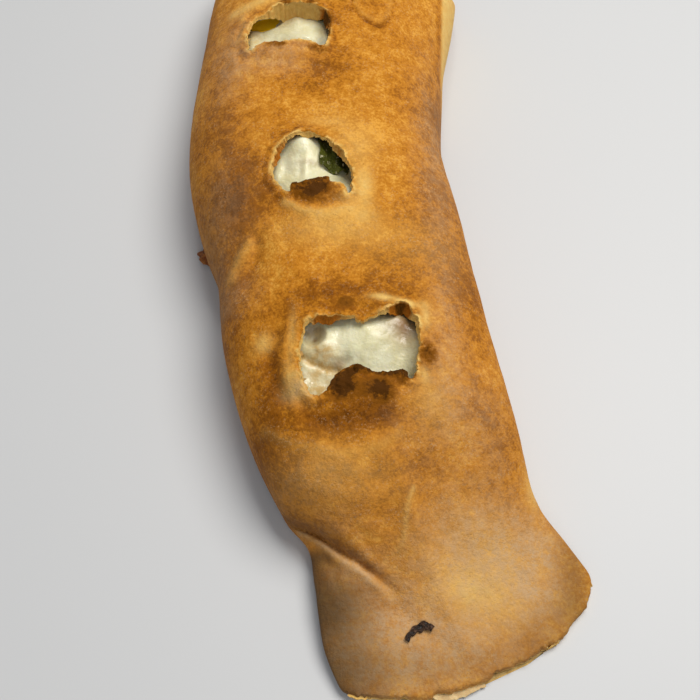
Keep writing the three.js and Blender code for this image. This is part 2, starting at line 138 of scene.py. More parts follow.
def bell(v, middle, width):
    """A smooth bump of height 1 along one line."""
    return np.exp(-(((v - middle) / width) ** 2))


def wave(v, form):
    """A bell given as (height, middle, width)."""
    height, middle, width = form
    return height * bell(v, middle, width)


def smooth(v, low, high):
    """From 0 at low to 1 at high, smoothly."""
    t = np.clip((v - low) / (high - low), 0, 1)
    return t * t * (3 - 2 * t)


def mix(a, b, t):
    return a + (b - a) * t


def spline(points, t):
    """Places and headings on a smooth line through points, for t from 0 to 1."""
    last = len(points) - 1
    q = np.clip(t, 0, 1) * last
    i = np.minimum(q.astype(int), last - 1)
    w = (q - i)[..., None]
    ends = np.vstack([2 * points[0] - points[1], points, 2 * points[-1] - points[-2]])
    p0, p1, p2, p3 = ends[i], ends[i + 1], ends[i + 2], ends[i + 3]
    go, come = (p2 - p0) / 2, (p3 - p1) / 2
    a, b = 2 * p1 - 2 * p2 + go + come, -3 * p1 + 3 * p2 - 2 * go - come
    speed = (3 * a * w + 2 * b) * w + go
    return ((a * w + b) * w + go) * w + p1, speed / np.linalg.norm(speed, axis=-1, keepdims=True)


def measure(name, along):
    """One measure of the section at places along the roll, on a smooth curve through its table."""
    at, value = np.array(SECTIONS["at"], float), np.array(SECTIONS[name], float)
    last = len(at) - 1
    i = np.clip(np.searchsorted(at, along), 1, last)
    n = np.arange(last + 1)
    low, high = np.maximum(n - 1, 0), np.minimum(n + 1, last)
    slope = (value[high] - value[low]) / (at[high] - at[low])
    span, rise = at[i] - at[i - 1], value[i] - value[i - 1]
    t = (along - at[i - 1]) / span
    go, come = slope[i - 1] * span, slope[i] * span
    return value[i - 1] + t * (go + t * (3 * rise - 2 * go - come + t * (go + come - 2 * rise)))


def end_form(end, fold_side):
    """Where the body starts behind a flat end, how steeply, and the slope of the flap before it."""
    fold, flat = end["fold"], end["open"]
    toe = mix(flat["toe"], fold["toe"], np.clip((fold_side - TOE_FROM) / (1 - TOE_FROM), 0, 1))
    side = smooth(fold_side, -0.15, 0.95)
    slope = mix(flat["slope"], fold["slope"], smooth(fold_side, -0.4, 1))
    return toe, mix(flat["reach"], fold["reach"], side), mix(flat["power"], fold["power"], side), slope


def end_height(end, distance, fold_side, crest):
    """Height of the top at a distance from one end."""
    toe, reach, power, slope = end_form(end, fold_side)
    rise = np.sin(math.pi / 2 * np.clip((distance - toe) / reach, 0, 1)) ** power * crest
    flap = np.minimum(FLAP_MOST, end["edge"] + slope * np.maximum(0, distance))
    blend = mix(CREASE_SOFT, CREASE_SHARP, smooth(fold_side, CREASE_FROM, CREASE_TO))
    near = np.maximum(0, blend - np.abs(flap - rise)) / blend
    return np.minimum(crest, np.maximum(flap, rise) + near * near * blend / 4)


def bow_shift(end, distance, fold_side):
    """How far a flat end's edge is bowed back along the roll."""
    power = np.where(fold_side > 0, end["fold"]["bow_power"], end["open"]["bow_power"])
    return end["bow"] * np.abs(fold_side) ** power * np.maximum(0, 1 - distance / END_FADE)


def crease(along, angle):
    """How far places are behind the near flap's crease, and how marked the crease is there."""
    c, s = np.cos(angle), np.sin(angle)
    fold_side = -np.sign(c) * np.abs(c) ** np.where(s > 0, DOME_POWER, FOOT_POWER)
    distance = along + bow_shift(NEAR_END, along, fold_side)
    toe, reach, power, slope = end_form(NEAR_END, fold_side)
    flap = np.minimum(FLAP_MOST, NEAR_END["edge"] + slope * (toe + 3))
    share = np.clip(flap / measure("crest", along), 0, 1)
    start = toe + reach * 2 / math.pi * np.arcsin(share ** (1 / power))
    return distance - start, smooth(fold_side, CREASE_FROM, CREASE_TO) * (s > -0.05)


def relief(x, y):
    """The broad forms of the roll's top: its swellings and each vent's ring and lip."""
    rise = marks(x, y, SWELLINGS)
    for vent in VENTS.values():
        (cx, cy), (rx, ry), (lx, ly, lrx, lry, up) = vent["at"], vent["half"], vent["lip"]
        out = np.hypot((x - cx) / rx, (y - cy) / ry)
        rise = rise + vent["ring"] * bell(out, RING_AT, RING_WIDTH)
        rise = rise + up * bump(x, y, (cx + lx, cy + ly, lrx, lry))
    return rise


def skin(along, angle, inset=0.0):
    """Points of the roll's skin, from places along it and angles round its section."""
    at, heading = spline(MIDDLE, along / ROLL_LENGTH)
    crest = measure("crest", along)
    c, s = np.cos(angle), np.sin(angle)
    half = mix(measure("left", along), measure("right", along), (1 + c) / 2)
    inwards = np.clip(np.minimum(along, ROLL_LENGTH - along) / CORNER_LENGTH, 0, 1)
    half = half - CORNER_TRIM * (1 - inwards) ** 2
    share = np.sign(c) * np.abs(c) ** np.where(s > 0, DOME_POWER, FOOT_POWER)
    shift = bow_shift(NEAR_END, along, -share) - bow_shift(FAR_END, ROLL_LENGTH - along, share)
    x = at[..., 0] + heading[..., 0] * shift + heading[..., 1] * share * (half - inset)
    y = at[..., 1] + heading[..., 1] * shift - heading[..., 0] * share * (half - inset)
    top = np.minimum(end_height(NEAR_END, along + shift, -share, crest),
                     end_height(FAR_END, ROLL_LENGTH - along - shift, share, crest))
    belly = np.minimum(measure("belly", along), 0.45 * top)
    up, down = np.maximum(s, 0), np.maximum(-s, 0)
    over = belly + (top + relief(x, y) * up - belly) * up ** DOME_POWER
    under = belly * np.maximum(0, 1 - FOOT_SPREAD * down ** FOOT_POWER)
    z = np.where(s > 0, over, under)
    return x, y, inset + z * (top - 2 * inset) / top


def torn_outline(vent, stray=0.75):
    """The torn edge of a vent: a smooth closed loop through its points, with small tears."""
    cx, cy = vent["at"]
    points = np.array(vent["outline"], float) + (cx, cy)
    loop = np.vstack([points[-2:], points, points[:3]])
    steps = []
    for i in range(2, len(points) + 2):
        for w in np.linspace(0, 1, OUTLINE_STEPS, endpoint=False):
            p0, p1, p2, p3 = loop[i - 1:i + 3]
            knots = np.cumsum([0] + [max(1e-6, np.linalg.norm(b - a)) ** 0.5
                                     for a, b in ((p0, p1), (p1, p2), (p2, p3))])
            t = mix(knots[1], knots[2], w)
            a1 = mix(p0, p1, (t - knots[0]) / (knots[1] - knots[0]))
            a2 = mix(p1, p2, (t - knots[1]) / (knots[2] - knots[1]))
            a3 = mix(p2, p3, (t - knots[2]) / (knots[3] - knots[2]))
            b1 = mix(a1, a2, (t - knots[0]) / (knots[2] - knots[0]))
            b2 = mix(a2, a3, (t - knots[1]) / (knots[3] - knots[1]))
            steps.append(mix(b1, b2, (t - knots[1]) / (knots[2] - knots[1])))
    steps = np.array(steps)
    for k, (x, y) in enumerate(steps):
        tear = noise.fractal(Vector((x * 0.3, y * 0.3, cx)), 0.7, 2.0, 4)
        sway = noise.fractal(Vector((y * 0.3, x * 0.3, cy)), 0.7, 2.0, 4)
        steps[k] += stray * np.array((tear, sway))
    return steps


def signed_distance(x, y, loop):
    """Distance to a closed loop of points, below zero inside it, and the nearest place on it."""
    a, b = loop, np.roll(loop, -1, axis=0)
    p = np.stack([x, y], -1)[:, None, :]
    ab = (b - a)[None]
    t = np.clip(((p - a) * ab).sum(-1) / (ab * ab).sum(-1), 0, 1)
    near = a + ab * t[..., None]
    gap = np.linalg.norm(p - near, axis=-1)
    best = gap.argmin(1)
    rows = np.arange(len(best))
    cross = (a[None, :, 1] > p[..., 1]) != (b[None, :, 1] > p[..., 1])
    edge = a[None, :, 0] + (p[..., 1] - a[None, :, 1]) / np.where(
        np.abs(ab[..., 1]) < 1e-9, 1e-9, ab[..., 1]) * ab[..., 0]
    inside = ((cross & (p[..., 0] < edge)).sum(1) % 2) == 1
    return np.where(inside, -1, 1) * gap[rows, best], near[rows, best], best


def inward(loop, spread=9):
    """The direction into a closed loop at each of its points, evened out over its neighbours."""
    run = np.roll(loop, -spread, axis=0) - np.roll(loop, spread, axis=0)
    area = (loop[:, 0] * np.roll(loop[:, 1], -1) - np.roll(loop[:, 0], -1) * loop[:, 1]).sum()
    side = np.stack([-run[:, 1], run[:, 0]], -1) * (1 if area > 0 else -1)
    return side / np.maximum(1e-6, np.linalg.norm(side, axis=1, keepdims=True))


def line_distance(x, y, points):
    """Distance to a line through points."""
    best = np.full(np.shape(x), 1e9)
    for (ax, ay), (bx, by) in zip(points[:-1], points[1:]):
        dx, dy = bx - ax, by - ay
        t = np.clip(((x - ax) * dx + (y - ay) * dy) / (dx * dx + dy * dy), 0, 1)
        best = np.minimum(best, np.hypot(x - ax - t * dx, y - ay - t * dy))
    return best


# ---- Meshes -----------------------------------------------------------------------------------------

WEIGHT_STEPS = 40
# Stretches along the roll whose rows are closer: the three vents, the near flap and the torn edges.
VENT_ROWS = ((84, 131), (166, 210), (244, 290))
FLAP_ROWS, EDGE_ROWS, EDGE_SPACING = 80, 2, 0.5


def only(obj):
    """Makes this the one selected and active object."""
    bpy.ops.object.select_all(action="DESELECT")
    obj.select_set(True)
    bpy.context.view_layer.objects.active = obj
    return obj


def coords(obj):
    """The places of a mesh's vertices, in metres."""
    out = np.empty(len(obj.data.vertices) * 3)
    obj.data.vertices.foreach_get("co", out)
    return out.reshape(-1, 3)


def set_coords(obj, points):
    obj.data.vertices.foreach_set("co", np.ascontiguousarray(points, dtype=np.float32).ravel())
    obj.data.update()


def select(obj, verts=None, faces=None):
    """Selects these vertices or faces of a mesh for the next edit-mode operator."""
    mesh = obj.data
    for items, chosen in ((mesh.vertices, verts), (mesh.edges, None), (mesh.polygons, faces)):
        flags = np.zeros(len(items), bool) if chosen is None else np.array(chosen, bool)
        items.foreach_set("select", flags)


def selected(obj):
    out = np.zeros(len(obj.data.vertices), bool)
    obj.data.vertices.foreach_get("select", out)
    return out


def edit(obj, mode, *steps):
    """Runs edit-mode steps on what is selected in a mesh."""
    only(obj)
    bpy.ops.object.mode_set(mode="EDIT")
    bpy.ops.mesh.select_mode(type=mode)
    for step in steps:
        step()
    bpy.ops.object.mode_set(mode="OBJECT")


def apply(obj, kind, **settings):
    """Adds a modifier with these settings and applies it."""
    modifier = obj.modifiers.new(kind.title(), kind)
    for key, value in settings.items():
        setattr(modifier, key, value)
    only(obj)
    bpy.ops.object.modifier_apply(modifier=modifier.name)


def corners_of(obj):
    """The vertices of each face of a mesh."""
    return [list(face.vertices) for face in obj.data.polygons]


def attribute(obj, name, values):
    """Writes one number for each vertex, which a material can read."""
    layer = obj.data.attributes.get(name) or obj.data.attributes.new(name, "FLOAT", "POINT")
    layer.data.foreach_set("value", np.ascontiguousarray(values, dtype=np.float32))


def read(obj, name):
    out = np.empty(len(obj.data.vertices), np.float32)
    obj.data.attributes[name].data.foreach_get("value", out)
    return out


def attribute_at(obj, name, chosen, values):
    """Sets an attribute at chosen vertices alone. It starts as zeros where the mesh hasn't got it."""
    whole = read(obj, name) if obj.data.attributes.get(name) else np.zeros(len(chosen))
    whole[chosen] = values
    attribute(obj, name, whole)


def drop_attributes(obj, names):
    for name in names:
        obj.data.attributes.remove(obj.data.attributes[name])


def group(obj, name, weights):
    """A vertex group whose weights go in steps, because a group is filled one weight at a time."""
    made = obj.vertex_groups.new(name=name)
    levels = np.round(np.clip(weights, 0, 1) * WEIGHT_STEPS).astype(int)
    for level in np.unique(levels):
        made.add(np.flatnonzero(levels == level).tolist(), level / WEIGHT_STEPS, "REPLACE")
    return name


def smooth_faces(obj, angle=None):
    only(obj)
    if angle is None:
        bpy.ops.object.shade_smooth()
    else:
        bpy.ops.object.shade_smooth_by_angle(angle=math.radians(angle))


def noise_at(points, size, octaves=3, seed=0.0, rough=0.9):
    """Fractal noise of about -1 to 1 whose blotches are about size millimetres across."""
    return np.array([noise.fractal(Vector((a, b, c + seed)), rough, 2.0, octaves)
                     for a, b, c in points / size])


def spaced(start, end, spacing):
    """Places from start to end, as far apart as spacing says at each."""
    places = [start]
    while places[-1] < end:
        places.append(places[-1] + spacing(places[-1]))
    places = np.array(places)
    return start + (places - start) * (end - start) / (places[-1] - start)


def add_grid(name, columns, rows):
    """A flat square grid, one unit across."""
    bpy.ops.object.select_all(action="DESELECT")
    bpy.ops.mesh.primitive_grid_add(x_subdivisions=columns, y_subdivisions=rows, size=1)
    obj = bpy.context.active_object
    obj.name = obj.data.name = name
    return obj


def tube(name, along, angle):
    """A grid bent round the roll's section, and each vertex's place along it, angle and row."""
    rows, columns = len(along) - 1, len(angle) - 1
    obj = add_grid(name, columns, rows)
    flat = coords(obj)
    column = np.rint((0.5 - flat[:, 0]) * columns).astype(int)
    row = np.rint((flat[:, 1] + 0.5) * rows).astype(int)
    return obj, along[row], angle[column], row


def rows_of(vents, flap, plain):
    """Spacing along the roll: finest at the vents, then at the near flap and its torn edges."""
    def spacing(along):
        if min(along, ROLL_LENGTH - along) < EDGE_ROWS:
            return min(EDGE_SPACING, flap)
        if any(low < along < high for low, high in VENT_ROWS):
            return vents
        return flap if along < FLAP_ROWS else plain
    return spacing


def columns_of(fine, sides, base, low, high, half):
    """Spacing round a roll half so wide: finest on top, between the angles low and high in degrees."""
    def spacing(angle):
        degrees = math.degrees(angle)
        return (fine if low < degrees < high else sides if degrees < 180 else base) / half
    return spacing


def close_tube(obj, row):
    """Merges the grid's two long sides and fills both ends. Each vertex's row stays as an attribute."""
    attribute(obj, "row", row)
    edit(obj, "VERT",
         lambda: bpy.ops.mesh.select_all(action="SELECT"),
         lambda: bpy.ops.mesh.remove_doubles(threshold=1e-7))
    row = np.rint(read(obj, "row")).astype(int)
    for end in (0, row.max()):
        select(obj, verts=row == end)
        edit(obj, "VERT", lambda: bpy.ops.mesh.fill(use_beauty=True))


# ---- Node materials ---------------------------------------------------------------------------------


class Value:
    """A node's output socket that can be used in Python sums."""

    def __init__(self, finish, socket):
        self.finish, self.socket = finish, socket

    def math(self, operation, first, second):
        return self.finish.node("ShaderNodeMath", {"operation": operation}, {0: first, 1: second})

    def __add__(self, other):
        return self.math("ADD", self, other)

    def __radd__(self, other):
        return self.math("ADD", other, self)

    def __sub__(self, other):
        return self.math("SUBTRACT", self, other)

    def __rsub__(self, other):
        return self.math("SUBTRACT", other, self)

    def __mul__(self, other):
        return self.math("MULTIPLY", self, other)

    def __rmul__(self, other):
        return self.math("MULTIPLY", other, self)

    def clamp(self):
        return self.finish.node("ShaderNodeClamp", {}, {0: self})

    def range(self, low, high, start=0.0, end=1.0):
        """This value from low..high onto start..end, smoothly and held at both ends."""
        return self.finish.node("ShaderNodeMapRange", {"interpolation_type": "SMOOTHSTEP"},
                                {0: self, 1: low, 2: high, 3: start, 4: end})


def colour(r, g, b):
    """An sRGB colour from 0 to 255 as the linear one that a shader takes."""
    return (*[((v / 255 + 0.055) / 1.055) ** 2.4 if v > 10 else v / 3294.6 for v in (r, g, b)], 1.0)


class Finish:
    """A material under construction: patterns on Object coordinates in millimetres, and its shader."""

    def __init__(self, name):
        self.material = bpy.data.materials.new(name)
        self.material.use_nodes = True
        self.tree = self.material.node_tree
        self.shader = self.tree.nodes["Principled BSDF"]
        place = self.node("ShaderNodeTexCoord", {}, {}, "Object")
        self.place = self.node("ShaderNodeMapping", {}, {"Vector": place, "Scale": (1000.0,) * 3})

    def node(self, kind, settings, inputs, out=0):
        """Adds a node: its settings first, then the values or links of its sockets."""
        made = self.tree.nodes.new(kind)
        for key, value in settings.items():
            setattr(made, key, value)
        for key, value in inputs.items():
            self.feed(made.inputs[key], value)
        return Value(self, made.outputs[out])

    def feed(self, socket, value):
        if isinstance(value, Value):
            self.tree.links.new(value.socket, socket)
        else:
            socket.default_value = value

    def attribute(self, name):
        return self.node("ShaderNodeAttribute", {"attribute_name": name}, {}, "Fac")

    def noise(self, size, detail=3.0, rough=0.55, shift=0.0, warp=0.0):
        """Soft noise whose blotches are about size millimetres across."""
        moved = {"Vector": self.place, "Location": (shift, -shift, shift)}
        return self.node("ShaderNodeTexNoise", {}, {
            "Vector": self.node("ShaderNodeMapping", {}, moved), "Scale": 1 / size, "Detail": detail,
            "Roughness": rough, "Distortion": warp})

    def spread(self, size, detail=3.0, rough=0.6, shift=0.0, warp=0.0):
        """The same noise, stretched to run from about 0 to 1."""
        return self.noise(size, detail, rough, shift, warp).range(0.36, 0.64)

    def blend(self, a, b, factor):
        return self.node("ShaderNodeMix", {"data_type": "RGBA"}, {0: factor, 6: a, 7: b}, 2)

    def bump(self, height, strength, distance):
        return self.node("ShaderNodeBump", {},
                         {"Strength": strength, "Distance": distance, "Height": height})

    def set(self, **sockets):
        for name, value in sockets.items():
            self.feed(self.shader.inputs[name.replace("_", " ")], value)
        return self.material


# The middle of the crust's mottle, which is half the sum of its four noises' weights.
MOTTLE_MIDDLE = 0.48


def crust_finish():
    """Baked dough: golden brown, mottled and floury, with scorched and stretched places, and painted
    shade and highlights.
    """
    f = Finish("floury_crust")
    broad, patch = f.spread(34, 3, 0.6, 3), f.spread(11, 4, 0.62, 17, 0.5)
    speck, grain = f.spread(3.4, 4, 0.66, 31), f.spread(1.1, 3, 0.7, 47)
    brown, pale = f.attribute("brown"), f.attribute("pale")
    mottle = broad * 0.22 + patch * 0.2 + speck * 0.26 + grain * 0.28
    tone = 0.52 + (mottle - MOTTLE_MIDDLE) * f.attribute("mottled") + brown * 0.66 - pale * 0.3
    base = f.blend(colour(224, 160, 62), colour(192, 122, 26), tone.range(0.1, 0.62))
    base = f.blend(base, colour(144, 84, 4), tone.range(0.55, 1.05))
    base = f.blend(base, colour(106, 58, 2), tone.range(1.0, 1.45))
    base = f.blend(base, colour(230, 190, 108), (pale * (0.75 + speck * 0.5)).clamp())
    fleck = f.noise(0.85, 2, 0.8, 61).range(0.54, 0.68) * f.noise(7, 3, 0.6, 71).range(0.4, 0.62)
    flour = (f.attribute("flour") * (0.3 + f.spread(4, 5, 0.8, 83) * 0.56) + fleck * 0.36).clamp()
    base = f.blend(base, colour(200, 164, 122), flour)
    # Painted shade, as a flat greyish brown.
    base = f.blend(base, colour(72, 56, 36), f.attribute("painted_shade"))
    pit = f.noise(1.5, 3, 0.7, 97).range(0.57, 0.7) * f.noise(10, 3, 0.6, 103).range(0.42, 0.62)
    base = f.blend(base, colour(134, 76, 8), pit * 0.34)
    char = f.attribute("char")
    char = (char + (f.noise(1.7, 4, 0.7, 113) - 0.5) * char * 2.6 + (speck - 0.5) * char * 0.5).clamp()
    base = f.blend(base, colour(126, 74, 2), char.range(0.05, 0.4))
    base = f.blend(base, colour(78, 43, 0), char.range(0.4, 0.85))
    height = grain * 0.3 + speck * 0.6 + f.noise(7, 4, 0.6, 131) * 1.6
    rough = 0.58 + f.noise(4, 3, 0.6, 139) * 0.24 + char * 0.1
    return f.set(Base_Color=base, Roughness=rough, Specular_IOR_Level=0.11, Sheen_Weight=0.03,
                 Sheen_Roughness=0.5, Sheen_Tint=colour(255, 236, 210),
                 Normal=f.bump(height, 0.4, 0.0008))


def crumb_finish(name, light, deep, baked):
    """Torn or inner dough, browned where the oven reached it. At the back rims of the vents this is
    partly painted shade.
    """
    f = Finish(name)
    mottle, fine = f.spread(2.6, 4, 0.65, 5), f.spread(0.9, 3, 0.7, 11)
    base = f.blend(colour(*light), colour(*deep), mottle * 0.45 + fine * 0.15)
    base = f.blend(base, colour(*baked), (f.attribute("brown") + (mottle - 0.5) * 0.2).range(0.1, 0.8))
    char = (f.attribute("char") + (fine - 0.5) * 0.2).clamp()
    base = f.blend(base, colour(98, 58, 2), char.range(0.1, 0.6))
    return f.set(Base_Color=base, Roughness=0.66, Specular_IOR_Level=0.15, Subsurface_Weight=0.1,
                 Subsurface_Scale=0.0015, Subsurface_Radius=(1.0, 0.6, 0.3),
                 Normal=f.bump(mottle + fine * 0.6, 0.35, 0.0006))


def cheese_finish():
    """Melted mozzarella: cream white and wet, tanned in places, with painted shade in its hollows and
    under the rims.
    """
    f = Finish("melted_cheese")
    cloud, fine = f.spread(8, 3, 0.55, 7), f.spread(2.2, 3, 0.6, 19)
    base = f.blend(colour(234, 231, 197), colour(223, 216, 170), cloud * 0.75 + fine * 0.25)
    base = f.blend(base, colour(206, 172, 104), (f.attribute("tan") * (0.6 + fine * 0.7)).clamp())
    # Painted shade in the hollows and under the rims, as a greyish brown.
    base = f.blend(base, colour(146, 110, 64), f.attribute("deep"))
    rough = 0.32 + fine * 0.12
    return f.set(Base_Color=base, Roughness=rough, Specular_IOR_Level=0.5, Subsurface_Weight=0.3,
                 Subsurface_Radius=(1.0, 0.85, 0.55), Subsurface_Scale=0.0025, Coat_Weight=0.28,
                 Coat_Roughness=0.07, Normal=f.bump(cloud * 0.9 + fine * 0.4, 0.22, 0.0012))


def leaf_finish():
    """A dark wilted leaf with milky specks, partly painted glints, and browner with painted shade where
    it lies under the rim.
    """
    f = Finish("wilted_spinach")
    mottle, fine = f.spread(3.4, 4, 0.6, 9), f.spread(1.0, 3, 0.7, 23)
    base = f.blend(colour(68, 70, 8), colour(102, 106, 34), mottle * 0.7 + fine * 0.3)
    base = f.blend(base, colour(56, 40, 6), f.attribute("shade"))
    # Milky specks where the leaf is out of its painted shade, partly painted glints.
    specks_and_glints = (f.noise(1.6, 3, 0.7, 51).range(0.6, 0.68) * (1 - f.attribute("shade"))).clamp()
    base = f.blend(base, colour(206, 200, 164), specks_and_glints)
    return f.set(Base_Color=base, Roughness=0.42, Specular_IOR_Level=0.2, Coat_Weight=0.1,
                 Coat_Roughness=0.1, Normal=f.bump(mottle + fine * 0.5, 0.9, 0.0009))


def oil_finish():
    """Smooth golden oil."""
    f = Finish("golden_oil")
    base = f.blend(colour(252, 204, 24), colour(255, 212, 44), f.spread(5, 2, 0.5, 29))
    return f.set(Base_Color=base, Roughness=0.1, Specular_IOR_Level=0.5, Coat_Weight=0.5,
                 Coat_Roughness=0.04)


def baked_finish(name, dark, light, size, rough):
    """A small browned or burnt scrap."""
    f = Finish(name)
    mottle = f.spread(size, 4, 0.65, 37)
    base = f.blend(colour(*dark), colour(*light), mottle)
    return f.set(Base_Color=base, Roughness=rough, Normal=f.bump(mottle, 0.8, 0.0007))


# ---- Crust ------------------------------------------------------------------------------------------

# Each vent's torn edge, as a closed loop of points.
LOOPS = {name: torn_outline(vent) for name, vent in VENTS.items()}

# Places on the crust where the oven or the dough left its mark: x, y, half sizes and strength.
SCORCHED = [
    (-11.4, -87.2, 4.2, 4.4, 1.5), (2.2, -90.1, 3.0, 3.0, 1.5), (-4.9, -89.6, 12, 5, 0.36),
    (9.5, -85.8, 3, 1.9, 0.5), (18.8, -75.4, 2.9, 4.2, 0.62), (-9.7, -56.6, 3.2, 2.6, 0.5),
    (0.5, -58.5, 4, 1.8, 0.3), (-19.6, -6.4, 3.2, 2.6, 0.9), (-23.2, -9.6, 3.4, 2.8, 0.8),
    (-28.6, -7.2, 2.4, 2.6, 0.5), (-21, -8.8, 9.5, 4.4, 0.4), (-41.6, 68.6, 3.2, 1.5, 0.36),
    (-36.8, 66.6, 2.8, 1.6, 0.4), (-21.1, 64.6, 4, 2, 0.4), (-17.6, 82, 1.8, 5, 0.7),
    (-36.2, 94.6, 2.6, 1.5, 0.6), (-25.4, 93.4, 2.6, 1.5, 0.6), (-22.5, 46, 3.4, 2.4, 0.22),
    (-20.6, 58.3, 4, 2.4, 0.25), (4, 80.3, 3, 1, 0.3),
]
# Scorched lines: points, half width and strength.
SCORCHED_LINES = [
    ([(-9.6, -85), (-8, -83), (-4.9, -81.6), (0.3, -82.4), (4, -83.4), (8.9, -82.4), (11.4, -83.6)],
     2.3, 1.2),
    ([(-29.6, -6), (-26, -4.6), (-22, -4), (-17.4, -3.2)], 1.4, 0.8),
    ([(-17.4, 86), (-16.9, 80), (-17.6, 72)], 0.9, 0.5),
]
BROWNED = [
    (-11, -51, 15, 7, 0.62), (-24, -56, 8, 6, 0.2), (-53, -24, 7, 44, 0.6), (-60, 30, 8, 40, 0.35),
    (-34.6, -90, 6.5, 11, 0.75), (-38, -104, 7, 16, 0.4), (-4, -89, 13, 6, 0.7), (20, -76, 4, 7, 0.5),
    (-14, -100, 17, 5.4, 0.9), (4, -97, 12, 4, 0.4), (10.3, -40, 9, 7, 0.42), (8, -108, 14, 12, 0.1),
    (-33, -115, 9, 10, 0.5), (-21, -9, 10, 6, 0.6), (-20, 57, 13, 7, 0.5), (-23, 46, 8, 6, 0.4),
    (-46, -10, 9, 20, 0.45), (-52, 0, 8, 20, 0.3), (22, -34, 12, 20, 0.4), (12, -16, 18, 12, 0.3),
    (-34, 20, 10, 6, 0.2), (34, -50, 9, 34, 0.5), (36, -90, 8, 12, 0.3), (45, -98, 8, 12, 0.6),
    (27, 22, 9, 44, 0.6), (-46, -110, 5, 12, 0.15), (-26, -114, 7, 6, 0.28), (-30, -66, 4, 12, 0.35),
    (-38, -14, 6, 10, 0.2), (-8, 108, 26, 16, 0.25), (48, -116, 8, 10, 0.25), (-8, -120, 24, 14, 0.2),
    (30, 44, 8, 12, 0.2),
]
STRETCHED = [
    (-3, -5, 3.2, 7.5, 0.72), (-6, 14, 8, 11, 0.3), (-18, 26, 8, 3, 0.25), (3.4, -54.6, 4.6, 1.3, 0.8),
    (12.6, -56.4, 5, 1.5, 0.8), (18.4, -61.4, 1.9, 4.6, 0.7), (-38.8, -69.6, 3.4, 3.2, 0.55),
    (-26, -88.6, 4.4, 3.4, 0.55), (-29.5, -84, 2.2, 5, 0.35), (17, -84, 2, 3, 0.4),
    (38, -152, 16, 12, 0.3), (31, -149, 7, 5, 0.25), (10, -30, 22, 12, 0.12), (-16, -24, 18, 7, 0.3),
    (-38, 96, 10, 4, 0.25),
    (-8, -12, 6, 5, 0.3), (20, -92, 8, 10, 0.2), (57, -113, 3, 8, 0.5), (-28.6, -69, 1.5, 9, 0.4),
    (-27.2, -84, 1.6, 3, 0.3), (-14, -116, 20, 9, 0.2), (-3.4, -18, 5, 4, 0.3), (38, -140, 22, 16, 0.25),
]
FLOURED = [
    (-58, 66, 10, 26, 0.55), (-44, 62, 9, 7, 0.4), (-60, -20, 7, 34, 0.3), (-52, -48, 10, 8, 0.35),
    (-4, -168, 20, 18, 0.9), (-12, -146, 12, 10, 0.35), (24, -168, 26, 12, 0.85),
    (56, -142, 12, 18, 1.1), (34, -134, 18, 14, 0.75), (26, -66, 7, 40, 0.4), (12, -104, 9, 12, 0.2),
    (26, 20, 9, 46, 0.5),
    (-24, -118, 24, 8, 0.2), (-50, -8, 10, 26, 0.15), (-34, 57, 10, 5, 0.35), (40, -100, 10, 20, 0.35),
    (-14, -130, 12, 6, 0.2), (26, -90, 10, 16, 0.2), (-25.6, -88.8, 5, 3.6, 0.8),
    (-32, 65, 9, 4, 0.45), (20, -150, 30, 16, 0.3),
]
# Painted shade in a flat greyish tone, where the dough lies low and turns from the light: x, y, half
# sizes and strength.
PAINTED_SHADE_PLACES = [
    (4, -176, 16, 9, 0.26), (36, -173, 26, 7, 0.28), (70, -142, 7, 18, 0.45), (58, -164, 12, 9, 0.3),
    (-62, -20, 6, 60, 0.2), (66, -154, 8, 6, 0.2),
]
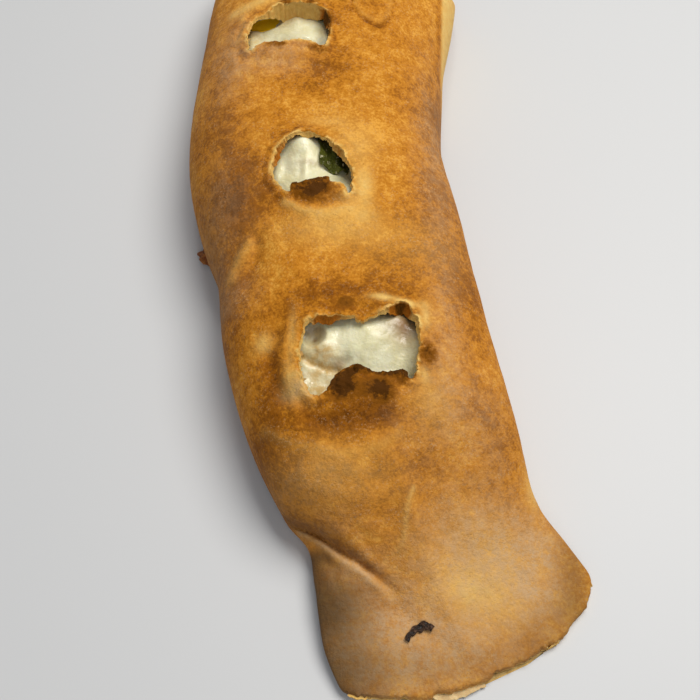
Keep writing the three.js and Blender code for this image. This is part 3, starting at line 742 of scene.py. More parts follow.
# Lines of low relief: points, half width, height, and how much they are browned and pale.
# Dents are browned partly as painted shade, and ridges made pale partly as painted highlight.
FORMS = [
    ([(-7.9, 93.1), (-5.7, 87.5), (-3.6, 84.1), (-0.3, 82), (4, 80.3), (7.9, 83.4), (9.7, 88.4),
      (11.3, 97.9), (8.6, 105), (1, 107.6), (-6, 103), (-7.9, 93.1)], 0.55, -0.6, 0.3, 0.0),
    ([(-2, 83), (1, 81.2), (4, 80.4), (7, 82)], 0.7, -0.3, 0.6, 0.0),
    ([(-5.9, 93.6), (-4.2, 88.6), (-2.4, 86), (0.4, 84.2), (3.8, 82.8), (6.2, 85.2), (7.8, 89.6),
      (9.2, 97.4), (7, 103), (0.8, 105.4), (-4.4, 101.4), (-5.9, 93.6)], 1.0, 0.4, 0.0, 0.1),
    ([(-46.2, -27.9), (-48.8, -30.6), (-51.1, -34.2), (-52.9, -39.2)], 2.4, 1.3, 0.0, 0.25),
    ([(-43.5, -26.4), (-42.9, -32.8), (-44.5, -38.7), (-46.6, -44)], 2.4, -1.2, 0.3, 0.0),
    ([(-34.4, -67.7), (-35.7, -73), (-35.9, -78.3), (-34, -84), (-30.7, -89.8)], 2.8, -1.3, 0.45, 0.0),
    ([(-30.5, -69), (-30.8, -75), (-30.4, -81), (-27.8, -88.6), (-21, -94)], 1.8, 0.5, 0.0, 0.06),
    ([(-32.7, -13.2), (-27, -17.2), (-21.4, -18.7), (-14.6, -18.3), (-7.9, -16.4)],
     1.7, 0.9, 0.0, 0.35),
    ([(-31, -10.6), (-26, -13.6), (-20.8, -14.6), (-14, -13.4)], 1.4, -0.8, 0.3, 0.0),
    ([(13.3, -119.9), (11.6, -123.9), (10.6, -128.2), (10.2, -132.5), (9.9, -135.3), (7.6, -139.4)],
     0.8, 0.6, 0.0, 0.34),
    ([(-23, -97.4), (-15.1, -100.4), (-4.9, -99.8), (4, -96)], 3.2, -1.0, 0.3, 0.0),
    ([(-38.3, 5.2), (-36.6, 11.2), (-33.6, 15.3), (-29.7, 18.4)], 0.9, 0.8, 0.0, 0.3),
    ([(-58.4, 94.2), (-52.6, 95.6), (-46.5, 98.6)], 3.2, 0.3, 0.0, 0.55),
    ([(-38, -100), (-27, -107), (-12, -110.5), (2, -108), (9, -103)], 1.8, 0.6, 0.0, 0.12),
    ([(22, -100), (18, -110), (9, -116), (-2, -118)], 2.2, -0.6, 0.2, 0.0),
    ([(-55.4, 74), (-53, 82), (-54.6, 90)], 1.6, 0.6, 0.0, 0.2),
]
# Where the torn dough turns down into a vent: x, y, half sizes, how far it reaches and how brown it is.
# The darkest tones, at the back rims of the near and far vents, are partly painted shade.
TURNED_DOWN = [
    (-16.6, -62.8, 6, 3, 1.3, 1.2), (9.6, -58, 4.4, 4.4, 2.6, 1.8), (16, -63.5, 3, 6, 0.7, -0.3),
    (-26, -72, 2, 14, 0.3, 0.0), (-36.8, 10, 5, 8, 1.0, 0.8), (-25.2, 18.6, 2.6, 3, 1.1, -0.3),
    (-30, 93.5, 8, 5, 0.7, -0.3), (-18, 85, 4, 6, 1.4, 1.9), (-9.5, -3, 3, 8, 0.5, 0.3),
    (-13.4, 11.4, 6, 4.4, 1.2, 0.5),
]
# How far down it turns for each millimetre that it reaches, and at the least. The rows of the turn are
# given as (share of the reach, share of the drop). The far vent's back wall goes down farther.
TURN_SLOPE, TURN_LEAST = 2.4, 0.8
TURN_STEPS = ((0.16, 0.3), (0.55, 0.72), (1.0, 1.0))
BACK_WALL, BACK_WALL_DROP = (-31, 93, 11, 6), 12
# The torn ends: how far in the tears reach, and how long and how deep the rounding of the rim is.
TEAR_REACH, RIM_LENGTH, RIM_ROUNDING = 5, 1.8, 0.42
# Across the near flap's crease, as (height, place behind the crease, width): the body's bulge over it,
# the ridge before it and its valley.
BULGE, RIDGE, VALLEY = (2.4, 4.5, 3.6), (1.25, -4.4, 3.0), (-0.8, -0.3, 1.9)
# Faces this near a vent's edge are divided in four, and vertices this near are put on the edge.
DIVIDED_NEAR, PUT_ON_EDGE = 3.4, 0.27
# The upper edge of the pale unbaked strip on the right, and the stretch over which the strip ends.
UNBAKED_FROM, UNBAKED_TO, UNBAKED_END = (30.6, 52.7), (33.7, 118.1), (118, 152)
# A lip of the near vent that is brown although it is torn, and a place left out of the flap's painted
# shade.
BROWN_LIP, LIT_PLACE = (-11, -61, 12, 5), (-7, -143, 11, 6)
# Shares of the full thickness: at a vent's edge, low on the sides, at the foot, where it is turned down,
# and the least, which is added to the first three.
EDGE_WALL, LOW_WALL, FOOT_WALL, TURNED_WALL, LEAST_WALL = 0.36, 0.12, 0.3, 0.14, 0.1
# The crust's material slots.
OUTSIDE, INSIDE, RIM = range(3)


def build_crust():
    """The dough shell, from its closed form to its torn vents, its tones and its thickness."""
    obj = form_crust()
    points, edge = cut_vents(obj)
    x, y, z = points.T
    upper = smooth(z, 14, 26)
    rough, fine = noise_at(points, 3.2, 4, 2.0), noise_at(points, 1.7, 2, 5.0)
    scorch = scorching(x, y) * upper
    shares = [bell(line_distance(x, y, form[0]), 0, form[1]) * upper for form in FORMS]
    points[:, 2] = lifted(points, edge, rough, fine, scorch, shares)
    set_coords(obj, points * MM)
    tone_crust(obj, points, edge, rough, fine, scorch, shares)
    turn_rims_down(obj)
    give_wall(obj)
    return obj


def form_crust():
    """The closed skin of the roll, with torn ends, and bulging over the near flap's crease."""
    along = spaced(0.0, ROLL_LENGTH, rows_of(vents=0.9, flap=1.4, plain=2.0))
    columns = columns_of(fine=0.9, sides=1.6, base=5.4, low=60, high=132, half=50)
    obj, a, r, row = tube("crust_shell", along, spaced(0.0, 2 * math.pi, columns))
    x, y, z = skin(a, r)
    from_end = np.minimum(a, ROLL_LENGTH - a)
    _, heading = spline(MIDDLE, a / ROLL_LENGTH)
    place = np.stack([x, y, 0 * z], -1)
    tear = noise_at(place, 6, 4, 3.0, 0.75) * 1.6 + noise_at(place, 1.9, 2, 9.0) * 0.5
    tear = tear * (1 - smooth(from_end, 0, TEAR_REACH)) * np.where(a < ROLL_LENGTH / 2, 1, -1)
    behind, marked = crease(a, r)
    push = tear + wave(behind, BULGE) * marked * smooth(z, 6, 16)
    x, y = x - heading[:, 0] * push, y - heading[:, 1] * push
    rounding = 1 - np.clip(from_end / RIM_LENGTH, 0, 1)
    z = z * (1 - RIM_ROUNDING * (1 - np.sqrt(1 - rounding ** 2)))
    upper = smooth(np.sin(r), -0.1, 0.3)
    z = z + marked * upper * (wave(behind, RIDGE) + wave(behind, VALLEY))
    set_coords(obj, np.stack([x, y, z], -1) * MM)
    # The ridge before the crease, made pale and floury partly as a painted highlight.
    attribute(obj, "ridge", marked * bell(behind, -3.8, 2.1) * upper)
    # The band of the body just behind the crease, which is darkened as painted shade.
    attribute(obj, "fold", marked * bell(behind, 2.2, 3.6))
    attribute(obj, "flap", smooth(-behind, 1, 5) * (a < 60) * (1 - smooth(y, -138, -132)))
    close_tube(obj, row)
    return obj


def cut_vents(obj):
    """Cuts the vents out along their torn edges. Gives each vertex's place and distance to an edge."""
    nearest = nearest_outline(obj)[0]
    select(obj, faces=[abs(nearest[c]).min() < DIVIDED_NEAR for c in corners_of(obj)])
    edit(obj, "FACE", lambda: bpy.ops.mesh.subdivide(number_cuts=1))
    nearest, spot, _ = nearest_outline(obj)
    points = coords(obj) / MM
    pull = np.abs(nearest) < PUT_ON_EDGE
    points[pull, :2], nearest[pull] = spot[pull], 0.0
    set_coords(obj, points * MM)
    select(obj, faces=[nearest[c].mean() < 0 for c in corners_of(obj)])
    edit(obj, "FACE", lambda: bpy.ops.mesh.delete(type="FACE"))
    nearest, spot, _ = nearest_outline(obj)
    points = coords(obj) / MM
    inside = nearest < 0
    points[inside, :2] = spot[inside]
    return points, np.maximum(nearest, 0.0)


def scorching(x, y):
    """How scorched the crust is, from its scorched places and lines."""
    scorch = marks(x, y, SCORCHED)
    for line, width, strength in SCORCHED_LINES:
        scorch = np.maximum(scorch, strength * bell(line_distance(x, y, line), 0, width))
    return scorch


def lifted(points, edge, rough, fine, scorch, shares):
    """Heights with the low relief: curled rims, blistered lips, ridges and dents."""
    z, broad = points[:, 2], noise_at(points, 13, 3, 7.0)
    lift = bell(edge, 0, 1.5) * (0.1 + 0.8 * rough + 0.3 * fine) - 0.6 * bell(edge, 3.8, 1.5)
    lift = lift + np.clip(scorch, 0, 1) * (1.1 * rough + 0.5 * fine) * smooth(edge, -0.5, 2)
    lift = lift + (0.6 * broad + 0.16 * rough) * smooth(z, 2, 12)
    for form, share in zip(FORMS, shares):
        lift = lift + form[2] * share
    return np.where(z > 0.4, z + lift * smooth(z, 0, 8), z)


def tone_crust(obj, points, edge, rough, fine, scorch, shares):
    """Marks where the crust is scorched, browned, pale, floury and mottled, and where shade and
    highlights are painted.
    """
    x, y, z = points.T
    ridge, fold = read(obj, "ridge"), read(obj, "fold")
    browned, pale = marks(x, y, BROWNED), marks(x, y, STRETCHED)
    # The low relief: dents browned partly as painted shade, ridges made pale partly as painted
    # highlight.
    for (*_, dent_brown_and_shade, ridge_pale_and_light), share in zip(FORMS, shares):
        browned, pale = browned + dent_brown_and_shade * share, pale + ridge_pale_and_light * share
    # The crease's ridge is made pale, partly as a painted highlight.
    pale = pale * smooth(z, 2, 6) + 0.18 * ridge

    # The unbaked strip, whose edge is browned.
    (x_from, y_from), (x_to, y_to) = UNBAKED_FROM, UNBAKED_TO
    unbaked = x - mix(x_from, x_to, (y - y_from) / (y_to - y_from))
    reached = smooth(y, 44, 84) * smooth(x, 10, 20)
    strip = 0.9 * smooth(unbaked, -0.6, 1.2) * reached * smooth(z, 3, 9)
    pale = pale + strip * (1 - smooth(y, *UNBAKED_END))
    browned = browned + 0.35 * bell(unbaked, -1.6, 1.2) * reached

    # Torn rims are pale, with a browned band behind them. The low left side is browner, partly as
    # painted shade, and the foot is browner. The band behind the flap's crease is browned as painted
    # shade.
    torn = smooth(rough + 0.5 * fine, -0.4, 0.4) * (1 - smooth(scorch, 0.1, 0.3))
    pale = pale + 0.9 * bell(edge, 0.2, 0.8) * torn * (1 - bump(x, y, BROWN_LIP))
    browned = browned + 0.5 * fold + 0.5 * bell(edge, 2.6, 1.6) * smooth(rough, -0.4, 0.6)
    sides, foot = 1 - smooth(z, 10, 30), 1 - smooth(z, 0, 4)
    browned = browned + 0.25 * sides * smooth(-x, 20, 50) + 0.35 * foot * (y > -140)

    # The left of the near flap is painted in shade, apart from its ridge, its edge and one lit place.
    lit = 0.5 * bump(x, y, LIT_PLACE) + 0.2 * (1 - smooth(y, -168, -156)) + 0.7 * np.clip(ridge, 0, 1)
    shaded = read(obj, "flap") * (1 - smooth(x, -16, 12)) * np.clip(1 - lit, 0, 1)

    attribute(obj, "char", scorch)
    attribute(obj, "brown", np.clip(browned, 0, 1.5))
    attribute(obj, "pale", np.clip(pale, 0, 1))
    # The crease's ridge is floury, partly as a painted highlight.
    attribute(obj, "flour", np.clip(marks(x, y, FLOURED) + 0.8 * ridge, 0, 1))
    # Painted shade: the flap's shaded left, the low places and the band behind the crease.
    attribute(obj, "painted_shade", np.clip(0.88 * shaded + marks(x, y, PAINTED_SHADE_PLACES) + 0.2 * fold, 0, 0.85))
    attribute(obj, "mottled", mix(0.9, 1.08, smooth(y, -125, -60)))
    attribute(obj, "edge", edge)


def nearest_outline(obj):
    """For each vertex, its distance to the nearest vent's edge, the place there, and the way in."""
    points = coords(obj) / MM
    x, y, z = points.T
    nearest, spot, way = np.full(len(x), 99.0), points[:, :2].copy(), np.zeros((len(x), 2))
    for name, loop in LOOPS.items():
        cx, cy = VENTS[name]["at"]
        near = np.flatnonzero((z > 20) & (np.hypot(x - cx, y - cy) < 30))
        gap, place, step = signed_distance(x[near], y[near], loop)
        nearer = np.abs(gap) < np.abs(nearest[near])
        near, gap, place, step = near[nearer], gap[nearer], place[nearer], step[nearer]
        nearest[near], spot[near], way[near] = gap, place, inward(loop)[step]
    return nearest, spot, way


def turn_rims_down(obj):
    """Extrudes the torn edges inwards and down onto the cheese, as the dough curls."""
    open_edges = dict(extend=False, use_wire=False, use_multi_face=False, use_non_contiguous=False,
                      use_verts=False)
    select(obj)
    edit(obj, "EDGE", lambda: bpy.ops.mesh.select_non_manifold(**open_edges))
    rim, points = selected(obj), coords(obj) / MM
    x, y, z = points[rim].T
    way_x, way_y = nearest_outline(obj)[2][rim].T
    reach = 0.35 + marks(x, y, TURNED_DOWN) + 0.08 * noise_at(points[rim], 2.6, 3, 4.0)
    reach = np.maximum(0.25, reach)
    to_cheese = z - cheese_surface(x + way_x * reach, y + way_y * reach) - 0.1
    turn = TURN_LEAST + TURN_SLOPE * (reach - 0.3) + BACK_WALL_DROP * bump(x, y, BACK_WALL)
    tone = sum(p[5] * bump(x, y, p) for p in TURNED_DOWN)
    kept = dict(from_x=x, from_y=y, from_z=z, way_x=way_x * reach, way_y=way_y * reach,
                drop=np.minimum(to_cheese, turn), tone=tone)
    for name, values in kept.items():
        attribute_at(obj, name, rim, values)
    for share, down in TURN_STEPS:
        select(obj)
        edit(obj, "EDGE", lambda: bpy.ops.mesh.select_non_manifold(**open_edges),
             lambda: bpy.ops.mesh.extrude_region_move())
        new, points = selected(obj), coords(obj) / MM
        x, y, z, way_x, way_y, drop, tone = (read(obj, name)[new] for name in kept)
        wobble = 0.12 * noise_at(np.stack([x, y, z], -1), 1.4, 2, share * 9)
        x, y, z = x + way_x * share + wobble, y + way_y * share + wobble, z - drop * down
        points[new] = np.stack([x, y, z], -1)
        set_coords(obj, points * MM)
        # A high tone scorches a turned rim; at the back rims this is partly painted shade.
        burnt = np.maximum(read(obj, "char")[new] * (way_y > 0), tone - 0.9)
        attribute_at(obj, "turned", new, share)
        attribute_at(obj, "brown", new, np.clip(tone, 0, 1))
        attribute_at(obj, "char", new, np.clip(burnt, 0, 1))
        attribute_at(obj, "edge", new, 0.0)
    drop_attributes(obj, kept)


def give_wall(obj):
    """Gives the crust its thickness: thin at the rims and in the flaps, and thinned out inside."""
    for finish in (crust_finish(),
                   crumb_finish("inner_dough", (214, 180, 116), (176, 132, 70), (150, 92, 26)),
                   crumb_finish("torn_rim", (236, 194, 112), (212, 154, 66), (176, 104, 20))):
        obj.data.materials.append(finish)
    x, y, z = (coords(obj) / MM).T
    edge, turned, row = (read(obj, name) for name in ("edge", "turned", "row"))
    ends = (0, row.max())

    def slot_of(corners):
        """A face of a turned rim or of a closed end of the roll is in the torn dough's slot."""
        closes_end = len(set(row[corners])) == 1 and row[corners[0]] in ends
        return RIM if closes_end or turned[corners].max() > 0 else OUTSIDE

    slots = [slot_of(corners) for corners in corners_of(obj)]
    obj.data.polygons.foreach_set("material_index", np.array(slots, np.int32))
    wall = mix(EDGE_WALL, 1.0, smooth(edge, 1.5, 8)) * mix(LOW_WALL, 1.0, smooth(z, 6, 22))
    middle = smooth(np.minimum(y + 130, 150 - y), -25, 0)
    wall = np.where(z < 6, FOOT_WALL, wall) * middle + LEAST_WALL
    wall = np.where(turned > 0, TURNED_WALL, wall)
    apply(obj, "SOLIDIFY", thickness=CRUST * MM, offset=-1, vertex_group=group(obj, "wall", wall),
          use_even_offset=False, use_quality_normals=True, material_offset=INSIDE,
          material_offset_rim=RIM)
    hidden = read(obj, "edge") > 7
    for face in obj.data.polygons:
        if face.material_index != INSIDE:
            hidden[list(face.vertices)] = False
    apply(obj, "DECIMATE", ratio=0.86, vertex_group=group(obj, "hidden", hidden))
    obj.vertex_groups.clear()
    drop_attributes(obj, ("row", "ridge", "fold", "flap", "turned", "edge"))
    points = coords(obj)
    points[:, 2] = np.maximum(points[:, 2], 0)
    set_coords(obj, points)
    smooth_faces(obj, 62)


# ---- Cheese -----------------------------------------------------------------------------------------

# Finer forms of the melted cheese: x, y, half sizes and height.
CHEESE_FORMS = [
    (1, -68, 20, 10, 3.2), (-4, -60.5, 12, 9, 4.0), (-22, -61.6, 7, 4.4, 2.6), (10, -59, 6, 5, 3.2),
    (18, -71, 4.4, 12, 6.0), (4, -74, 12, 7, -0.6), (-26, -77, 3.4, 10, 2.4),
    (-21, -66, 3.4, 4.0, -0.6), (-17, -72, 4.4, 3.2, 0.8), (-10.4, -75.4, 1.8, 1.6, -1.2),
    (3, -66, 7, 6, 0.4), (-21, -84, 6, 5, 0.9), (-15.2, -67, 1.7, 1.9, 0.35),
    (-8, -61.6, 1.8, 1.6, 0.5), (-1.4, -70.8, 1.9, 1.5, 0.5), (-3, -74.6, 1.7, 1.5, 0.5),
    (-6.8, -72.4, 2.2, 1.5, 0.5), (-13.4, -74, 1.8, 1.4, 0.5),
    (-30, 10, 2.6, 5, 0.8), (-26, 6, 2.4, 6, 0.8), (-33, 1, 3, 4, 0.9), (-22, 0, 5, 3, 0.7),
    (-27.8, 12, 3.2, 1.4, -0.8), (-27.4, 6.5, 1.0, 4, -0.7), (-24, -1.5, 3, 1.4, 0.8),
    (-30, 18, 9, 7, 4.6), (-37.5, 6, 3.6, 8, 3.2), (-21, 13, 9, 7, 4.4), (-26, 20, 9, 4.4, 3.0),
    (-9, -3, 5, 9, 4.8),
    (-30, 80, 7, 3, 1.0), (-32, 92, 2.6, 4.2, 1.0), (-23, 74, 3, 3, -0.9), (-44, 99.6, 9, 1.6, 0.5),
    (-48, 79, 5, 2.2, 0.8), (-28, 91, 9, 5, 2.2), (-26, 70.5, 4, 2, 0.9), (-51, 84, 3, 8, 2.4),
    (-18, 78, 3, 10, 3.2), (-20, -70, 8, 3, 0.9),
]
# Tanned places, then places of painted shade: x, y, half sizes and strength.
TAN = [(-17.4, -72.6, 4.6, 3.2, 0.8), (-21, -79, 5, 1.3, 0.4), (-21.5, -68.5, 3.4, 3.2, 0.4),
       (-33, 92, 12, 3.4, 0.3), (-50, 85, 4, 5, 0.5), (-19, -86, 7, 7, 0.8), (-36, 78, 12, 3, 0.25),
       (16.5, -68, 3, 12, 0.5)]
PAINTED_CHEESE_SHADE = [(-20.9, -66.2, 0.9, 0.8, 0.7), (11.8, -62.5, 4.6, 7.5, 0.95), (5.6, -62, 4.6, 7, 0.36),
        (-11.8, -76.2, 2.6, 2.0, 0.75), (-18.5, 84, 3, 8, 0.5), (-9.5, 4, 3, 6, 0.3),
        (-23.5, 9.4, 4, 1.2, 0.4), (-27.6, 7.6, 1.6, 4, 0.2)]
# The round hollow in the near vent's cheese: its middle and half sizes, and its raised rim.
HOLLOW, HOLLOW_RIM = (-21, -65.8, 4.3, 4.8), (0.6, 1.1, 0.16)
# The crease before that hollow, and its valley.
CREASE_LINE, CREASE_VALLEY = [(-26.6, -72.4), (-22.5, -75), (-17.2, -77.2), (-12, -78.4)], (1.3, 0, 1.1)
# The oil's bed in the cheese: how deep it is, how much wider than the oil, and its raised rim.
OIL_BED, OIL_ROOM, OIL_RIM = 1.6, 0.35, (0.35, 1.25, 0.16)
# The stretch of the roll that is filled with cheese.
CHEESE_FROM, CHEESE_TO = 63.0, 319.0
# A place on the cheese is found in so many steps, and never lower down its side than this angle.
SEARCH_STEPS, LEAST_ANGLE = 40, 0.05


def cheese_drop(x, y):
    """How far the cheese lies under the crust's inside, and how open the vent is there."""
    sink = 0.0 * x
    for vent in VENTS.values():
        (cx, cy), (rx, ry) = vent["at"], vent["half"]
        out = np.hypot((x - cx) / (rx * SINK_SPREAD), (y - cy) / (ry * SINK_SPREAD))
        sink = np.maximum(sink, vent["sunk"] * (1 - smooth(out, 0.6, 1)))
    opened = np.minimum(1, sink / 3)
    return np.maximum(0, sink - marks(x, y, CHEESE_LUMPS) * opened), opened


def in_oil(x, y, grow=0.0):
    """How far out a place is from the middle of the oil pool, where 1 is its edge."""
    (cx, cy), (rx, ry), turn = OIL["at"], OIL["half"], OIL["turn"]
    u = (x - cx) * math.cos(turn) + (y - cy) * math.sin(turn)
    v = (y - cy) * math.cos(turn) - (x - cx) * math.sin(turn)
    return np.hypot(u / (rx + grow), v / (ry + grow))


def hollow(x, y):
    """How far out a place is from the middle of the round hollow, where 1 is its edge."""
    cx, cy, rx, ry = HOLLOW
    return np.hypot((x - cx) / rx, (y - cy) / ry)


def cheese_relief(x, y):
    """The cheese's finer forms over its plain top."""
    forms = marks(x, y, CHEESE_FORMS) + wave(hollow(x, y), HOLLOW_RIM)
    return forms - wave(line_distance(x, y, CREASE_LINE), CREASE_VALLEY)


def cheese_surface(x, y):
    """Height of the cheese over places near a vent, with its finer forms."""
    return cheese_top(x, y) + cheese_relief(x, y) * cheese_drop(x, y)[1]


def cheese_top(x, y):
    """Height of the cheese over places near a vent, as the solid has it."""
    x, y = np.atleast_1d(np.asarray(x, float)), np.atleast_1d(np.asarray(y, float))
    along = (y - MIDDLE[0][1]) / (MIDDLE[-1][1] - MIDDLE[0][1]) * ROLL_LENGTH
    angle = np.full(x.shape, math.pi / 2)
    for _ in range(SEARCH_STEPS):
        at_x, at_y, _ = skin(along, angle, CRUST + GAP)
        along = np.clip(along + (y - at_y) * 0.9, 0, ROLL_LENGTH)
        angle = np.clip(angle - (x - at_x) * 0.016, LEAST_ANGLE, math.pi - LEAST_ANGLE)
    return skin(along, angle, CRUST + GAP)[2] - cheese_drop(x, y)[0]


def build_cheese():
    """The cheese that fills the roll, with its finer forms where a vent shows it."""
    along = spaced(CHEESE_FROM, CHEESE_TO, rows_of(vents=0.72, flap=9, plain=9))
    columns = columns_of(fine=0.75, sides=4.5, base=11, low=60, high=133, half=45)
    obj, a, r, row = tube("melted_cheese", along, spaced(0.0, 2 * math.pi, columns))
    x, y, z = skin(a, r, CRUST + GAP)
    drop, opened = cheese_drop(x, y)
    over = smooth(np.maximum(0, np.sin(r)), 0.2, 0.6)
    place = np.stack([x, y, z], -1)
    ripple = noise_at(place, 5.0, 2, 5.0) * 0.34 + noise_at(place, 1.9, 2, 8.0) * 0.06
    z = z - (drop - (cheese_relief(x, y) + ripple) * opened) * over
    out = in_oil(x, y, OIL_ROOM)
    z = z - OIL_BED * (1 - smooth(out, 0.7, 1.05)) + wave(out, OIL_RIM)
    set_coords(obj, np.stack([x, y, z], -1) * MM)
    close_tube(obj, row)
    x, y, _ = (coords(obj) / MM).T
    # The crease is tanned, partly as painted shade under its ledge.
    tan = marks(x, y, TAN) + 0.95 * bell(line_distance(x, y, CREASE_LINE), 0, 1.3)
    attribute(obj, "tan", np.clip(tan, 0, 1))
    # The round hollow is painted with shade, more towards its far side.
    in_hollow = 1 - smooth(hollow(x, y), 0.8, 1.05)
    deep = marks(x, y, PAINTED_CHEESE_SHADE) + in_hollow * mix(0.12, 0.62, smooth(y, -68, -63))
    attribute(obj, "deep", np.clip(deep, 0, 1))
    obj.data.materials.append(cheese_finish())
    smooth_faces(obj)
    return obj


# ---- Leaf, oil and scraps ---------------------------------------------------------------------------

# The leaf's corners: near left, near right, far left and far right. It stays at least this far over the
# cheese's plain top and over its finer forms.
LEAF_CORNERS = ((-19.8, 8.4), (-8.4, 6.4), (-20.4, 24), (-9.8, 19))
LEAF_OVER_TOP, LEAF_OVER_FORMS = 2.2, 1.2
# The oil reaches a little past its stated half size, into the cheese.
OIL_OVERLAP = 1.02
# The middle lines of the burnt crescent and of the lower layer of dough, and how wide each is.
FLAKE_LINE = [(10.6, -165.4), (12.4, -162.8), (14.8, -161.3), (17.2, -160.5), (19.4, -161.6)]
FLAKE_LEAST, FLAKE_MOST = 0.3, 1.18
LAYER_LINE = [(17.5, -180.6), (22.0, -182.3), (25.6, -182.0), (30.2, -180.7), (36.5, -177.6)]
LAYER_WIDTH = 6
LEAK = dict(at=(-65.4, -3.2), half=(6.6, 5.2, 1.5), base=0.1)
# Rays that look for the crust's top start this many metres up.
RAY_FROM = 0.2


def sheet_on(name, columns, rows, place, thickness, finish, angle=45):
    """A grid laid out by place(u, v), with u and v from 0 to 1, and given a thickness downwards."""
    obj = add_grid(name, columns, rows)
    u, v = coords(obj)[:, 0] + 0.5, coords(obj)[:, 1] + 0.5
    set_coords(obj, np.stack(place(u, v), -1) * MM)
    apply(obj, "SOLIDIFY", thickness=thickness * MM, offset=-1)
    obj.data.materials.append(finish)
    smooth_faces(obj, angle)
    return obj


def build_leaf():
    """The wilted leaf, tucked under the right side of the middle vent."""
    near_left, near_right, far_left, far_right = map(np.array, LEAF_CORNERS)

    def place(u, v):
        across, along = u[:, None], v[:, None]
        at = mix(mix(near_left, near_right, across), mix(far_left, far_right, across), along)
        flat = np.column_stack([at, 0 * u])
        ruffle = noise_at(flat, 4.2, 2, 6.0)
        x = at[:, 0] + 0.5 * ruffle - 0.5 * np.sin(v * 9)
        y = at[:, 1] + 0.6 * np.sin(u * 7 + 1) * (1 - v) + 0.3 * ruffle
        fold = 1.3 * bell(u + v * 0.5, 0.75, 0.13) - 0.8 * bell(u + v * 0.5, 0.98, 0.1)
        bed = np.maximum(cheese_top(x, y) + LEAF_OVER_TOP, cheese_surface(x, y) + LEAF_OVER_FORMS)
        return x, y, bed + fold + 0.7 * ruffle + 0.5 * np.sin(u * 11 + v * 4)

    obj = sheet_on("spinach_leaf_wilted", 30, 36, place, 0.5, leaf_finish())
    x, y, _ = (coords(obj) / MM).T
    # Painted shade over the far right of the leaf, which lies under the vent's rim.
    attribute(obj, "shade", smooth(x * 0.72 + y * 0.7, -1.4, 2.4))
    return obj


def build_oil():
    """The pool of oil: a grid pressed into an ellipse, whose edge creeps up a little."""
    (cx, cy), (rx, ry), turn = OIL["at"], OIL["half"], OIL["turn"]
    level = float(cheese_top(cx, cy)[0]) - OIL["sunk"]

    def place(u, v):
        s, t = u * 2 - 1, v * 2 - 1
        x = s * np.sqrt(1 - t * t / 2) * rx * OIL_OVERLAP
        y = t * np.sqrt(1 - s * s / 2) * ry * OIL_OVERLAP
        rise = 0.35 * smooth(np.hypot(x / rx, y / ry), 0.8, OIL_OVERLAP)
        return (cx + x * math.cos(turn) - y * math.sin(turn),
                cy + x * math.sin(turn) + y * math.cos(turn), level + rise)

    return sheet_on("oil_pool_golden", 28, 20, place, 0.9, oil_finish(), 50)


def surface_of(obj):
    """A function for the height of a finished piece over places on the table."""
    tree = BVHTree.FromObject(obj, bpy.context.evaluated_depsgraph_get())

    def height(x, y):
        starts = [Vector((a * MM, b * MM, RAY_FROM)) for a, b in zip(x, y)]
        hits = [tree.ray_cast(start, Vector((0, 0, -1)))[0] for start in starts]
        return np.array([hit.z / MM if hit else 0.0 for hit in hits])

    return height


def beside(at, heading, side):
    """Places this far to the left of places on a line, seen along its heading."""
    return at[:, 0] - heading[:, 1] * side, at[:, 1] + heading[:, 0] * side


def build_flake(crust_height):
    """The burnt crescent that stuck to the near flap."""
    def place(u, v):
        at, heading = spline(np.array(FLAKE_LINE), v)
        swell = np.sin(math.pi * np.clip(v * 0.96, 0, 1) ** 1.5) ** 0.8
        half = mix(FLAKE_LEAST, FLAKE_MOST, swell)
        half = half * (1 + 0.1 * np.sin(v * 27) + 0.08 * np.sin(v * 15 + u * 4))
        side = (u - 0.5) * 2 * half
        x, y = beside(at, heading, side)
        arch, ripple = 0.35 * (1 - (2 * u - 1) ** 2), 0.2 * np.sin(v * 23 + u * 7)
        return x, y, crust_height(x, y) + 0.3 + arch + ripple

    return sheet_on("burnt_flake", 10, 30, place, 0.7,
                    baked_finish("burnt_crust", (26, 17, 10), (78, 50, 28), 1.5, 0.55), 40)


def build_lower_layer():
    """The paler sheet of dough that shows under the near flap's torn edge."""
    def place(u, v):
        at, heading = spline(np.array(LAYER_LINE), v)
        flat = np.column_stack([at, 0 * u])
        side = (u - 0.2) * LAYER_WIDTH + 0.5 * noise_at(flat, 1.6, 3, 2.0) * (1 - u)
        x, y = beside(at, heading, side)
        return x, y, 0.95 + 0.25 * np.sin(v * 17) * (1 - u) - 0.3 * u

    obj = sheet_on("lower_dough_layer", 10, 60, place, 0.6,
                   crumb_finish("under_layer", (226, 200, 150), (196, 156, 100), (150, 100, 44)))
    for name in ("brown", "char"):
        attribute(obj, name, np.zeros(len(obj.data.vertices)))
    return obj


def build_leak():
    """The dribble of browned cheese at the foot of the left side."""
    bpy.ops.object.select_all(action="DESELECT")
    bpy.ops.mesh.primitive_uv_sphere_add(segments=40, ring_count=22, radius=1)
    obj = bpy.context.active_object
    obj.name = obj.data.name = "browned_leak"
    ball = coords(obj)
    ruffle = noise_at(ball, 0.6, 3)
    x, y, _ = (ball * (1 + 0.3 * ruffle[:, None])).T
    (cx, cy), (rx, ry, rz) = LEAK["at"], LEAK["half"]
    height = LEAK["base"] + (ball[:, 2] + 1) * rz * (1 + 0.25 * ruffle)
    set_coords(obj, np.stack([cx + x * rx, cy + y * ry, np.maximum(height, 0.05)], -1) * MM)
    obj.data.materials.append(baked_finish("browned_cheese", (146, 78, 28), (190, 122, 56), 1.8, 0.45))
    smooth_faces(obj)
    return obj


def finish_piece(obj, node):
    """Puts a piece under the root body and hides the solid that it stands for."""
    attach(obj, "root")
    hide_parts(node)
    return obj


# ---- Camera, table and light ------------------------------------------------------------------------

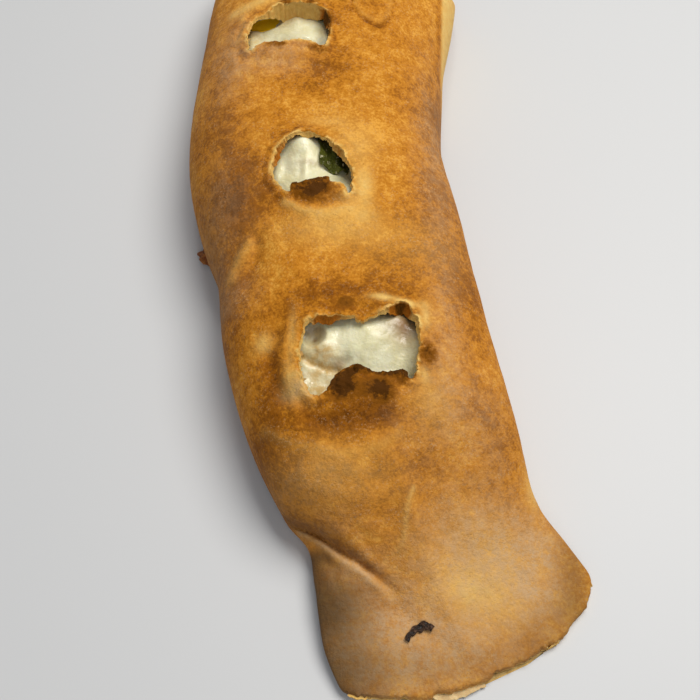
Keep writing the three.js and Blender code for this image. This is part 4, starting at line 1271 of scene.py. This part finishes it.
# The camera looks down at the roll from its near end, tilted this far from straight down. Places are in
# metres here, and angles in degrees.
CAMERA_AT, CAMERA_TILT, VIEW_ANGLE, SENSOR_WIDTH = (-0.0083, -0.242, 0.335), 30, 40, 36.0
TABLE_SIZE = 8
ROOM_COLOUR, ROOM_STRENGTH = (0.92, 0.95, 1.0, 1), 0.24


def build_camera():
    data = bpy.data.cameras.new("camera")
    data.sensor_width, data.sensor_fit = SENSOR_WIDTH, "HORIZONTAL"
    data.lens = SENSOR_WIDTH / 2 / math.tan(math.radians(VIEW_ANGLE / 2))
    data.clip_start = 0.01
    obj = bpy.data.objects.new("camera", data)
    obj.location = CAMERA_AT
    obj.rotation_euler = (math.radians(CAMERA_TILT), 0, 0)
    bpy.context.collection.objects.link(obj)
    bpy.context.scene.camera = obj


def build_table():
    bpy.ops.object.select_all(action="DESELECT")
    bpy.ops.mesh.primitive_plane_add(size=TABLE_SIZE)
    table = bpy.context.active_object
    table.name = "table"
    finish = Finish("pale_table").set(Base_Color=colour(206, 207, 208), Roughness=0.5)
    table.data.materials.append(finish)


def area_light(name, at, aim, size, power, tint):
    """A round lamp at one place, aimed at another."""
    data = bpy.data.lights.new(name, "AREA")
    data.shape, data.size, data.energy, data.color = "DISK", size, power, tint
    obj = bpy.data.objects.new(name, data)
    obj.location = at
    obj.rotation_euler = (Vector(aim) - Vector(at)).to_track_quat("-Z", "Y").to_euler()
    bpy.context.collection.objects.link(obj)


def build_light():
    area_light("lamp", at=(0.42, 0.26, 1.05), aim=(-0.02, 0, 0.02), size=0.75, power=11.6,
               tint=(1.0, 0.97, 0.92))
    area_light("room", at=(0.1, -1.2, 1.2), aim=(-0.02, 0, 0), size=1.2, power=4, tint=(0.95, 0.97, 1.0))
    area_light("window", at=(-0.06, 0.52, 1.15), aim=(0, -0.05, 0.04), size=0.2, power=1.4,
               tint=(1.0, 1.0, 1.0))
    world = bpy.context.scene.world or bpy.data.worlds.new("room")
    bpy.context.scene.world = world
    world.use_nodes = True
    background = world.node_tree.nodes["Background"]
    background.inputs["Color"].default_value = ROOM_COLOUR
    background.inputs["Strength"].default_value = ROOM_STRENGTH
    bpy.context.scene.view_settings.view_transform = "Standard"


build_camera()
build_table()
build_light()
shell = finish_piece(build_crust(), "crust")
finish_piece(build_flake(surface_of(shell)), "crust")
finish_piece(build_lower_layer(), "crust")
finish_piece(build_leak(), "crust")
finish_piece(build_cheese(), "filling")
finish_piece(build_leaf(), "spinach_leaf")
finish_piece(build_oil(), "oil_pool")
